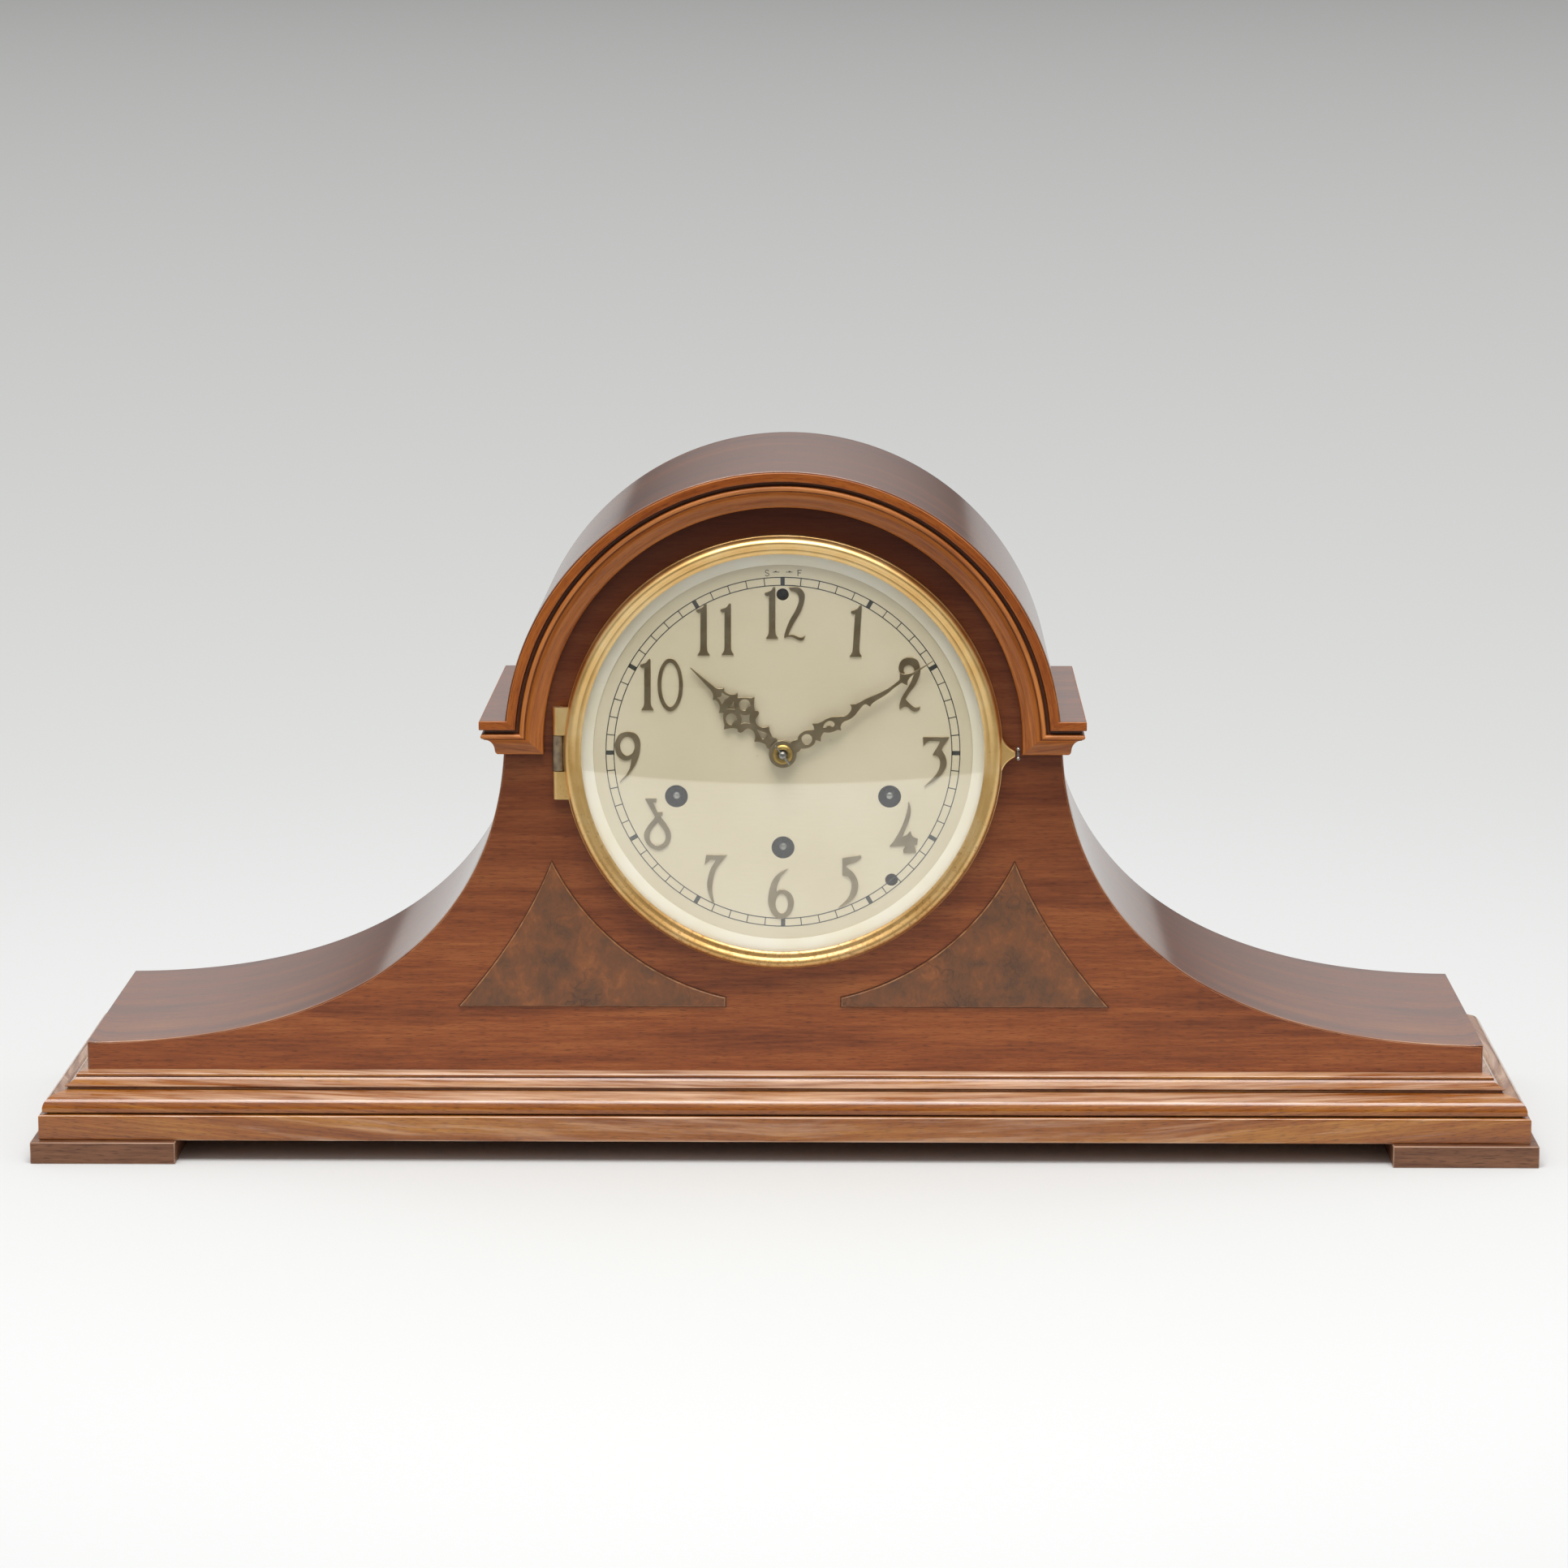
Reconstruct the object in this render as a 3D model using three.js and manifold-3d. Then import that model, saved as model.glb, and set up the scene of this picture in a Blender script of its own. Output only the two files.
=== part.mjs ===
// Tambour mantel clock: a veneered case with a drum between two swept wings,
// a hinged brass bezel over the dial, and a three train spring movement inside.
// Millimetres, +Z up, the front faces -Y. Sizes are set here, each one once.
import * as THREE from 'three';
import { mergeVertices } from 'three/addons/utils/BufferGeometryUtils.js';
import Module from 'manifold-3d';

const wasm = await Module();
wasm.setup();

// Gaps between pieces
const SEAT = 0.3; // a fixed piece in its seat
const RUN = 0.3; // radial play of a turning piece
const END_PLAY = 0.3; // play along an arbor
const INTO = 1; // how far joined forms and cutters run past a face

// Base, from the table up
const FOOT_HEIGHT = 8.4;
const FOOT_WIDTH = 55;
const FOOT_DEPTH = 42;
const FOOT_PROUD = 19.6; // feet beyond the wing tips and the front board
const PLINTH_HEIGHT = 9.8;
const PLINTH_PROUD = 16.6;
const OVOLO_HEIGHT = 9.85;
const OVOLO_PROUD = 15.4;
const LIP_PROUD = 7.6;
const CAP_HEIGHT = 4.25;
const CAP_PROUD = 3.6;
const REAR_SHARE = 0.3; // the base stands out less at the back than at the front
const FRAME_WIDTH = 30; // width of the base frame inside the wing tips
const BOTTOM_BOARD = 8;

// Case outline
const WING_REACH = 160.15; // wing tip beyond the neck
const TIP_HEIGHT = 10.5; // wing tip above the base
const TIP_WALL = 8;
const CASE_DEPTH = 125; // face of the front board to the back of the case
const BOARD = 8; // front and back boards
const TOP_SKIN = 5; // bent tops
const NECK_OUT = 0.7; // neck under the imposts beyond the arch
const SWEEP_LEAN = 3; // how far the sweep leaves the neck
const SWEEP_DROP = 61.2; // how long it stays near the neck
const SWEEP_REACH = 112.9; // how long it lies along the wing
const SWEEP_LIFT = 0.7; // its slope at the tip
const BEZEL_LIFT = 40.8; // lowest point of the bezel above the base
const IMPOST_RISE = 0.8; // underside of the imposts above the dial center
const IMPOST_SIDE = 8.5; // how far they stand out beside the neck
const ARCH_RISE = 2.8; // center of the arch above the dial center
const ARCH_GAP = 9.2; // bezel to arch moulding
const ARCH_WIDTH = 13; // width of the moulding of the arch and the imposts
const ARCH_PROUD = 10; // how far it stands in front of the front board

// Burl panels on the front board
const PANEL_THICKNESS = 1.2;
const PANEL_FOOT = 25; // lower edge above the base
const PANEL_INNER = 21.9;
const PANEL_SPREAD = 35.7; // outer corner beyond the tip
const PANEL_TIP = THREE.MathUtils.degToRad(25.6); // tip below the level of the dial center
const PANEL_HOLLOW = 7; // how far the outer edge curves in
const PANEL_GAP = 14.7; // bezel to panel

// Back door
const DOOR_HOLE = 62;
const DOOR_LAP = 5; // door over the board round its hole
const DOOR_THICKNESS = 4;
const DOOR_DROP = 5; // door center below the dial center
const DOOR_KNUCKLE = 2;
const DOOR_LEAF_HALF = 15;
const DOOR_LEAF_WIDTH = 18;
const DOOR_LEAF = 1;
const BUTTON_RADIUS = 3.2;
const BUTTON_ARM = 14;
const BUTTON_WIDTH = 8;
const BUTTON_THICKNESS = 1.5;
const KNUCKLE_LIFT = 1.6; // hinge axis behind the fixed leaf

// Dial and bezel
const BEZEL_INNER = 75.6; // opening for the glass
const BEZEL_WIDTH = 6.5;
const BEZEL_DEPTH = 7.6;
const DIAL_LAP = 3.6; // dial beyond the bezel opening
const DIAL_THICKNESS = 1;
const DIAL_LEDGE = 9.2; // dial over the board round its hole
const KEY_HOLE = 4.3;
const REGULATOR_HOLE = 2.3;
const LEVER_HOLE = 2.4;
const LEVER_X = 40.8;
const LEVER_Z = -48.5;
const GLASS_LAP = 1.2; // glass behind the bezel lip
const GLASS_THICKNESS = 1.8;
const GLASS_CROWN = 9;
const GLASS_FRONT = 4.6; // edge of the glass in front of the board
const SIGHT_WIDTH = 4.5; // sight ring inside the bezel opening
const HINGE_OUT = 2.2; // hinge axis beyond the bezel
const HINGE_Y = 2.3; // hinge axis in front of the board
const HINGE_KNUCKLE = 2;
const HINGE_HALF = 17.5;
const HINGE_MIDDLE = 6.6; // half height of the middle knuckle
const HINGE_LEAF = 1.2;
const HINGE_LEAF_LENGTH = 12;
const HINGE_PIN = 0.8;
const LUG_REACH = 5;
const LUG_HEIGHT = 7;
const LUG_THICKNESS = 2;
const PRONG_RADIUS = 0.8;
const PRONG_HEIGHT = 4;
const PRONG_SPREAD = 3.6;

// Hands and motion work
const HAND_THICKNESS = 0.8;
const HOUR_LENGTH = 47;
const MINUTE_SHORT = 5.1; // tip of the minute hand inside the sight ring
const HOUR_ANGLE = -46.8; // degrees clockwise from twelve, as the hands stand
const MINUTE_ANGLE = 57.8;
const HAND_GAP = 0.9; // dial to hour hand, and hand to hand
const HUB_RADIUS = 5.2;
const WASHER_RADIUS = 3.7;
const WASHER_HEIGHT = 0.9;
const TAPER_RADIUS = 0.5;
const TAPER_LENGTH = 9;
const CENTER_ARBOR = 1.5;
const PIPE_WALL = 0.6;
const MOTION_TEETH = 8;
const MINUTE_WHEEL_TEETH = 24;
const HOUR_WHEEL_TEETH = 32;
const MOTION_DISTANCE = 12;
const MOTION_THICKNESS = 1.8;

// Movement
const PLATE_HALF = 66;
const PLATE_BOTTOM = 62;
const PLATE_TOP = 66;
const PLATE = 2;
const PLATE_SETBACK = 6; // front plate behind the front board
const PILLAR_X = 59;
const PILLAR_LOW = -55;
const PILLAR_HIGH = 58;
const PILLAR_RADIUS = 3.2;
const SIDE_BARREL_X = 40;
const SIDE_BARREL_Z = -16.7;
const TIME_BARREL_Z = -36.2;
const REGULATOR_Z = 59.8;
const BARREL_RADIUS = 17;
const BARREL_WALL = 1.2;
const BARREL_REST = 7; // barrels to the back plate
const SPRING_STRIP = 0.7;
const SPRING_TURNS = 4;
const WIND_ARBOR = 2.5;
const WIND_PIVOT = 1.8;
const WIND_SQUARE = 3.4;
const WIND_TIP = 1.2; // tip of the square behind the dial face
const RATCHET_RADIUS = 8;
const RATCHET_TEETH = 18;
const RATCHET_ROOT = 0.86; // root of a tooth as a share of the radius
const ARBOR = 1.2;
const PIVOT = 0.8;
const WHEEL = 1.8; // thickness of a train wheel
const PINION = 3.6; // length of a pinion
const FIRST_SETBACK = 1.2; // intermediate wheel behind the front plate
const BARREL_SETBACK = 5; // great wheels behind the front plate
const LAYER = 6; // spacing of the further wheels along the arbors
const GREAT_TEETH = 36;
const FIRST_PINION = 8;
const FIRST_WHEEL = 24;
const CENTER_PINION = 8;
const CENTER_TEETH = 28;
const THIRD_PINION = 8;
const THIRD_TEETH = 28;
const ESCAPE_PINION = 8;
const ESCAPE_TEETH = 24;
const ESCAPE_RADIUS = 9;
const CENTER_TO_FIRST = 13;
const CENTER_TO_THIRD = 13;
const THIRD_TO_ESCAPE = 12.5;
const ESCAPE_TO_ANCHOR = 13.5;
const PALLET_SPREAD = 7.9;
const PALLET_DROP = 7.6;
const PALLET = 1; // width of a pallet tip
const ANCHOR_HUB = 3;
const CRUTCH_SETBACK = 2; // crutch behind the back plate
const CRUTCH_HALF = 1;
const CRUTCH_LENGTH = 26;
const PENDULUM_SETBACK = 7; // rod behind the back plate
const PENDULUM_LENGTH = 113;
const ROD_RADIUS = 1.5;
const BOB_RADIUS = 16;
const BOB_THICKNESS = 8;
const COCK_HEIGHT = 5;
const SUSPENSION_HALF = 2; // half width of the suspension spring
const SUSPENSION = 0.6; // its thickness
const SPRING_PLAY = 0.7; // room for it to lean in its slot
const CAM_RADIUS = 5;
const CAM_BACK = 2; // back of the regulator cam behind the back plate
const REGULATOR_SQUARE = 2;

// Chime
const CHIME_ROD = 1.5;
const CHIME_ROD_LEFT = -100;
const CHIME_BLOCK_X = 108;
const CHIME_BLOCK_WIDTH = 16;
const CHIME_CLEAR = 2.5; // block to the base frame
const CHIME_EDGE = 4.5; // rod to the edge of the block
const CHIME_FIRST_SETBACK = 16; // first rod behind the back plate
const CHIME_SPACING = 14;
const CHIME_COUNT = 2;
const HAMMER_X = 34;
const HAMMER_Z = -86;
const HAMMER_ARM = 22;
const HAMMER_HUB = 4;
const HAMMER_HEAD = 4.5;
const HAMMER_BLADE = 2; // thickness of the arm
const HAMMER_DROP = 2; // head above the rod at rest

// Widths, heights and depths that follow from the sizes above
const BEZEL_RADIUS = BEZEL_INNER + BEZEL_WIDTH;
const GLASS_SEAT = BEZEL_INNER + GLASS_LAP;
const SIGHT_INNER = BEZEL_INNER - SIGHT_WIDTH;
const DIAL_RADIUS = BEZEL_INNER + DIAL_LAP;
const DIAL_OPENING = DIAL_RADIUS - DIAL_LEDGE;
const HINGE_X = BEZEL_RADIUS + HINGE_OUT;
const ARCH_RADIUS = BEZEL_RADIUS + ARCH_GAP + ARCH_WIDTH;
const NECK_HALF = ARCH_RADIUS + NECK_OUT;
const WING_HALF = NECK_HALF + WING_REACH;
const PANEL_ARC = BEZEL_RADIUS + PANEL_GAP;
const DOOR_RADIUS = DOOR_HOLE + DOOR_LAP;
const MINUTE_LENGTH = SIGHT_INNER - MINUTE_SHORT;
const PLINTH_TOP = FOOT_HEIGHT + PLINTH_HEIGHT;
const LIP_Z = PLINTH_TOP + OVOLO_HEIGHT;
const BASE_TOP = LIP_Z + CAP_HEIGHT;
const TIP_TOP = BASE_TOP + TIP_HEIGHT;
const DIAL_Z = BASE_TOP + BEZEL_LIFT + BEZEL_RADIUS;
const IMPOST_BOTTOM = DIAL_Z + IMPOST_RISE;
const IMPOST_TOP = IMPOST_BOTTOM + ARCH_WIDTH;
const ARCH_Z = DIAL_Z + ARCH_RISE;
const DOOR_Z = DIAL_Z - DOOR_DROP;
const DOOR_FRONT = CASE_DEPTH + SEAT;
const DOOR_BACK = DOOR_FRONT + DOOR_THICKNESS;
const BUTTON_FRONT = DOOR_BACK + 2 * SEAT;
const REAR = BUTTON_FRONT + BUTTON_THICKNESS;
const FRONT_PLATE = BOARD + PLATE_SETBACK;
const TRAIN_FRONT = FRONT_PLATE + PLATE;
const CHIME_LAST = CASE_DEPTH - FRAME_WIDTH - CHIME_CLEAR - CHIME_EDGE;
const CHIME_FIRST = CHIME_LAST - (CHIME_COUNT - 1) * CHIME_SPACING;
const PLATE_BACK = CHIME_FIRST - CHIME_FIRST_SETBACK;
const TRAIN_BACK = PLATE_BACK - PLATE;
const PENDULUM_Y = PLATE_BACK + PENDULUM_SETBACK;
const FIRST_Z = -CENTER_TO_FIRST;
const THIRD_Z = CENTER_TO_THIRD;
const ESCAPE_Z = THIRD_Z + THIRD_TO_ESCAPE;
const ANCHOR_Z = ESCAPE_Z + ESCAPE_TO_ANCHOR;
const CHIME_ROD_Z = HAMMER_Z - HAMMER_HUB - HAMMER_DROP - CHIME_ROD;

const clock = new THREE.Group();
clock.position.set(0, (FOOT_PROUD - REAR) / 2, 0);

// Finishes
const finish = (color, roughness, metalness) =>
  new THREE.MeshStandardMaterial({ color, roughness, metalness });
const mahogany = finish(0x6f4029, 0.35, 0);
const walnut = finish(0x86583a, 0.35, 0);
const burl = finish(0x6b4c30, 0.35, 0);
const plainWood = finish(0x7a5a3a, 0.7, 0);
const giltBrass = finish(0xd0a860, 0.3, 1);
const brass = finish(0xb8954f, 0.35, 1);
const bronze = finish(0x4a3524, 0.45, 0.7);
const steel = finish(0x8d8f92, 0.35, 1);
const silverDial = finish(0xd2c8ab, 0.5, 0.2);
const clearGlass = finish(0xe4ecea, 0.05, 0);
const castIron = finish(0x3a3836, 0.6, 0.5);

// A clean closed surface: shared corners merged, flat slivers dropped, faces out.
function closed(geometry) {
  const bare = new THREE.BufferGeometry();
  bare.setAttribute('position', geometry.getAttribute('position').clone());
  if (geometry.index) bare.setIndex(geometry.index.clone());
  const merged = mergeVertices(bare, 1e-4);
  const position = merged.getAttribute('position');
  const kept = [];
  let volume = 0;
  const a = new THREE.Vector3();
  const b = new THREE.Vector3();
  const c = new THREE.Vector3();
  for (let i = 0; i < merged.index.count; i += 3) {
    const corner = [0, 1, 2].map((k) => merged.index.getX(i + k));
    if (new Set(corner).size < 3) continue;
    a.fromBufferAttribute(position, corner[0]);
    b.fromBufferAttribute(position, corner[1]);
    c.fromBufferAttribute(position, corner[2]);
    volume += a.dot(b.cross(c));
    kept.push(corner);
  }
  merged.setIndex(kept.flatMap((corner) => (volume < 0 ? [corner[0], corner[2], corner[1]] : corner)));
  return merged;
}

// Joins and cuts
function toSolid(geometry) {
  const clean = closed(geometry);
  const vertProperties = new Float32Array(clean.getAttribute('position').array);
  const triVerts = new Uint32Array(clean.index.array);
  return new wasm.Manifold(new wasm.Mesh({ numProp: 3, vertProperties, triVerts }));
}

function toGeometry(solid) {
  const { vertProperties, triVerts } = solid.getMesh();
  const geometry = new THREE.BufferGeometry();
  geometry.setAttribute('position', new THREE.BufferAttribute(new Float32Array(vertProperties), 3));
  geometry.setIndex(new THREE.BufferAttribute(new Uint32Array(triVerts), 1));
  return geometry;
}

const join = (first, ...rest) =>
  toGeometry(rest.reduce((sum, piece) => sum.add(toSolid(piece)), toSolid(first)));
const cut = (first, ...rest) =>
  toGeometry(rest.reduce((sum, piece) => sum.subtract(toSolid(piece)), toSolid(first)));

// Basic forms. A plate has its outline in X and Z and its thickness along Y.
function plate(shape, front, back, curveSegments = 24) {
  const options = { depth: back - front, bevelEnabled: false, curveSegments };
  const geometry = new THREE.ExtrudeGeometry(shape, options);
  return geometry.rotateX(Math.PI / 2).translate(0, back, 0);
}

function block(x0, x1, y0, y1, z0, z1) {
  const geometry = new THREE.BoxGeometry(x1 - x0, y1 - y0, z1 - z0);
  return geometry.translate((x0 + x1) / 2, (y0 + y1) / 2, (z0 + z1) / 2);
}

function rod(radius, from, to, sides = 10) {
  const start = new THREE.Vector3(...from);
  const along = new THREE.Vector3(...to).sub(start);
  const geometry = new THREE.CylinderGeometry(radius, radius, along.length(), sides);
  const own = new THREE.Vector3(0, 1, 0);
  const turn = new THREE.Quaternion().setFromUnitVectors(own, along.clone().normalize());
  const middle = start.addScaledVector(along, 0.5);
  return geometry.applyQuaternion(turn).translate(middle.x, middle.y, middle.z);
}

// A piece turned about an axis along Y; the profile is a list of radius and depth.
function turned(profile, x, z, sides = 16) {
  const points = profile.map(([radius, y]) => new THREE.Vector2(radius, y));
  return new THREE.LatheGeometry(points, sides).translate(x, 0, z);
}

// A skin stretched over rings of equal count. With a section it is an open run and gets
// flat ends of that section, without one it closes on itself.
function loft(rings, section) {
  const count = rings[0].length;
  const positions = rings.flat().flatMap((point) => point);
  const index = [];
  const runs = section ? rings.length - 1 : rings.length;
  for (let i = 0; i < runs; i++) {
    const next = (i + 1) % rings.length;
    for (let k = 0; k < count; k++) {
      const a = i * count + k;
      const b = i * count + ((k + 1) % count);
      const c = next * count + k;
      const d = next * count + ((k + 1) % count);
      index.push(a, c, b, b, c, d);
    }
  }
  const geometry = new THREE.BufferGeometry();
  geometry.setAttribute('position', new THREE.Float32BufferAttribute(positions, 3));
  if (section) {
    const last = (rings.length - 1) * count;
    const faces = endFace(section);
    index.push(...faces.flat());
    index.push(...faces.flatMap((face) => face.toReversed().map((k) => k + last)));
  }
  geometry.setIndex(index);
  return geometry;
}

// Triangles over a section, their corners in the section's own order
function endFace(section) {
  const flat = section.map((point) => new THREE.Vector2(...point));
  const forward = THREE.ShapeUtils.area(flat) > 0;
  return THREE.ShapeUtils.triangulateShape(flat, []).map((face) => {
    const sameWay = THREE.ShapeUtils.area(face.map((k) => flat[k])) > 0 === forward;
    return sameWay ? face : face.toReversed();
  });
}

const mirrored = (geometry) => geometry.clone().scale(-1, 1, 1);

function add(name, geometry, material) {
  const mesh = new THREE.Mesh(closed(geometry), material);
  mesh.name = name;
  clock.add(mesh);
}

function circle(radius, x, z, sides) {
  const points = [];
  for (let i = 0; i < sides; i++) {
    const angle = (2 * Math.PI * i) / sides;
    points.push(new THREE.Vector2(x + radius * Math.cos(angle), z + radius * Math.sin(angle)));
  }
  return points;
}

const disc = (radius, x, z, sides = 48) => new THREE.Shape(circle(radius, x, z, sides));

function circleHole(shape, x, z, radius, sides = 10) {
  shape.holes.push(new THREE.Path(circle(radius, x, z, sides)));
}

// Base: a moulded frame mitred at the corners, a board inside it and four feet
// The cap steps out to the lip, in shares of that step and of the cap height
const CAP_SECTION = [[0.3, 0.85], [0.45, 0.5], [1, 0.25], [1, 0]];
const OVOLO_MIDDLE = 0.35; // share of its height where the ovolo stands out furthest
const OVOLO_STEPS = 8;
const OVOLO_TURN = THREE.MathUtils.degToRad(115);

function baseProfile() {
  const ovoloCenter = PLINTH_TOP + OVOLO_MIDDLE * OVOLO_HEIGHT;
  const ovoloWidth = OVOLO_PROUD - LIP_PROUD;
  const points = [[-FRAME_WIDTH, FOOT_HEIGHT], [-FRAME_WIDTH, BASE_TOP], [CAP_PROUD, BASE_TOP]];
  for (const [out, up] of CAP_SECTION) {
    points.push([CAP_PROUD + out * (LIP_PROUD - CAP_PROUD), LIP_Z + up * CAP_HEIGHT]);
  }
  for (let i = 0; i <= OVOLO_STEPS; i++) {
    const angle = Math.PI / 2 - (OVOLO_TURN * i) / OVOLO_STEPS;
    const rise = (1 - OVOLO_MIDDLE) * OVOLO_HEIGHT - SEAT;
    points.push([LIP_PROUD + ovoloWidth * Math.cos(angle), ovoloCenter + rise * Math.sin(angle)]);
  }
  points.push([PLINTH_PROUD, PLINTH_TOP]);
  points.push([PLINTH_PROUD, FOOT_HEIGHT]);
  return points;
}

const rearOf = (proud) => CASE_DEPTH + (proud > 0 ? REAR_SHARE : 1) * proud;

function baseFrame() {
  const profile = baseProfile();
  const corner = (side, back) =>
    profile.map(([proud, z]) => [side * (WING_HALF + proud), back ? rearOf(proud) : -proud, z]);
  return loft([corner(-1, false), corner(1, false), corner(1, true), corner(-1, true)]);
}

add('base_moulding', baseFrame(), walnut);
const bottomHalf = WING_HALF - FRAME_WIDTH - SEAT;
const bottomFront = FRAME_WIDTH + SEAT;
const bottomTop = FOOT_HEIGHT + BOTTOM_BOARD;
const bottomBack = CASE_DEPTH - bottomFront;
const bottomBoard = block(-bottomHalf, bottomHalf, bottomFront, bottomBack, FOOT_HEIGHT, bottomTop);
add('bottom_board', bottomBoard, plainWood);
for (const [across, side] of [['left', -1], ['right', 1]]) {
  const outer = side * (WING_HALF + FOOT_PROUD);
  const inner = outer - side * FOOT_WIDTH;
  const x = [Math.min(outer, inner), Math.max(outer, inner)];
  const back = rearOf(FOOT_PROUD);
  add(`foot_front_${across}`, block(...x, -FOOT_PROUD, FOOT_DEPTH - FOOT_PROUD, 0, FOOT_HEIGHT), walnut);
  add(`foot_rear_${across}`, block(...x, back - FOOT_DEPTH, back, 0, FOOT_HEIGHT), walnut);
}

// Case outline: the sweep runs from the neck down to the wing tip
const SWEEP_STEPS = 20;
const ARCH_STEPS = 28;

const sweep = new THREE.CubicBezierCurve(
  new THREE.Vector2(NECK_HALF, IMPOST_BOTTOM),
  new THREE.Vector2(NECK_HALF + SWEEP_LEAN, IMPOST_BOTTOM - SWEEP_DROP),
  new THREE.Vector2(WING_HALF - SWEEP_REACH, TIP_TOP + SWEEP_LIFT),
  new THREE.Vector2(WING_HALF, TIP_TOP),
);

// The sweep moved inwards, ended where it meets the upright at tipX
function sweepInside(inset, tipX) {
  const points = [];
  for (let i = 0; i <= SWEEP_STEPS; i++) {
    const at = i / SWEEP_STEPS;
    const point = sweep.getPointAt(at);
    const tangent = sweep.getTangentAt(at);
    points.push(new THREE.Vector2(point.x + inset * tangent.y, point.y - inset * tangent.x));
  }
  points[0].set(NECK_HALF - inset, IMPOST_BOTTOM);
  const inside = points.filter((point) => point.x < tipX - INTO);
  inside.push(new THREE.Vector2(tipX, points.at(-1).y));
  return inside;
}

function arcPoints(radius, steps) {
  const start = Math.asin((IMPOST_TOP - ARCH_Z) / radius);
  const points = [];
  for (let i = 0; i <= steps; i++) {
    const angle = start + ((Math.PI - 2 * start) * i) / steps;
    points.push(new THREE.Vector2(radius * Math.cos(angle), ARCH_Z + radius * Math.sin(angle)));
  }
  return points;
}

function caseOutline(inset, tipX) {
  const right = [new THREE.Vector2(tipX, BASE_TOP), ...sweepInside(inset, tipX).reverse()];
  right.push(new THREE.Vector2(NECK_HALF - inset, IMPOST_TOP));
  const left = right.map((point) => new THREE.Vector2(-point.x, point.y)).reverse();
  return new THREE.Shape([...right, ...arcPoints(ARCH_RADIUS - inset, ARCH_STEPS), ...left]);
}

const hingeRecess = block(
  -HINGE_X - HINGE_KNUCKLE - SEAT, -HINGE_X + HINGE_LEAF_LENGTH + SEAT,
  -SEAT, HINGE_LEAF + 2 * SEAT,
  DIAL_Z - HINGE_MIDDLE - SEAT, DIAL_Z + HINGE_MIDDLE + SEAT,
);
const frontOutline = caseOutline(0, WING_HALF);
circleHole(frontOutline, 0, DIAL_Z, DIAL_OPENING, 40);
add('front_board', cut(plate(frontOutline, 0, BOARD), hingeRecess), mahogany);

const backOutline = caseOutline(TOP_SKIN + SEAT, WING_HALF - TIP_WALL - SEAT);
circleHole(backOutline, 0, DOOR_Z, DOOR_HOLE, 40);
add('back_board', plate(backOutline, CASE_DEPTH - BOARD, CASE_DEPTH), plainWood);

function wingTop() {
  const tipX = WING_HALF - TIP_WALL;
  const outer = [new THREE.Vector2(WING_HALF, BASE_TOP), ...sweepInside(0, WING_HALF).reverse()];
  const inner = [...sweepInside(TOP_SKIN, tipX), new THREE.Vector2(tipX, BASE_TOP)];
  return plate(new THREE.Shape([...outer, ...inner]), BOARD, CASE_DEPTH);
}

add('wing_top_right', wingTop(), mahogany);
add('wing_top_left', mirrored(wingTop()), mahogany);

const drumOuter = arcPoints(ARCH_RADIUS, ARCH_STEPS);
const drumInner = arcPoints(ARCH_RADIUS - TOP_SKIN, ARCH_STEPS).reverse();
add('drum_top', plate(new THREE.Shape([...drumOuter, ...drumInner]), BOARD, CASE_DEPTH), mahogany);

// One moulding for the arch and the imposts: fillet, groove, bead, cove and lip, in shares
// of its width from the outer edge and of its height
const MOULDING = [
  [0, 0], [0, 1], [0.3, 1], [0.32, 0.86], [0.42, 0.86], [0.44, 0.93], [0.5, 0.93], [0.57, 0.8],
  [0.65, 0.6], [0.73, 0.47], [0.82, 0.4], [0.85, 0.34], [1, 0.31], [1, 0],
];

const mouldingZ = (across) => IMPOST_TOP - across * ARCH_WIDTH;
const mouldingRadius = (across) => ARCH_RADIUS - across * ARCH_WIDTH;
const miterAngle = (across) => Math.asin((mouldingZ(across) - ARCH_Z) / mouldingRadius(across));

// The arch runs from miter to miter
function archMoulding() {
  const rings = [];
  for (let i = 0; i <= ARCH_STEPS; i++) {
    rings.push(MOULDING.map(([across, out]) => {
      const radius = mouldingRadius(across);
      const start = miterAngle(across);
      const angle = start + ((Math.PI - 2 * start) * i) / ARCH_STEPS;
      return [radius * Math.cos(angle), -out * ARCH_PROUD, ARCH_Z + radius * Math.sin(angle)];
    }));
  }
  return loft(rings, MOULDING);
}

add('arch_moulding', archMoulding(), mahogany);

// Imposts: the same moulding from the miter outwards, returned along the side of the neck
const IMPOST_CORE = 0.2; // share of the side projection that the core fills

function impost() {
  const miter = MOULDING.map(([across, out]) =>
    [mouldingRadius(across) * Math.cos(miterAngle(across)), -out * ARCH_PROUD, mouldingZ(across)]);
  const corner = (back) => MOULDING.map(([across, out]) =>
    [NECK_HALF + out * IMPOST_SIDE, back ? CASE_DEPTH : -out * ARCH_PROUD, mouldingZ(across)]);
  const moulding = loft([miter, corner(false), corner(true)], MOULDING);
  const coreSide = NECK_HALF + IMPOST_CORE * IMPOST_SIDE;
  const core = block(NECK_HALF - TOP_SKIN, coreSide, BOARD, CASE_DEPTH, IMPOST_BOTTOM, IMPOST_TOP);
  return join(moulding, core);
}

add('impost_right', impost(), mahogany);
add('impost_left', mirrored(impost()), mahogany);

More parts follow.
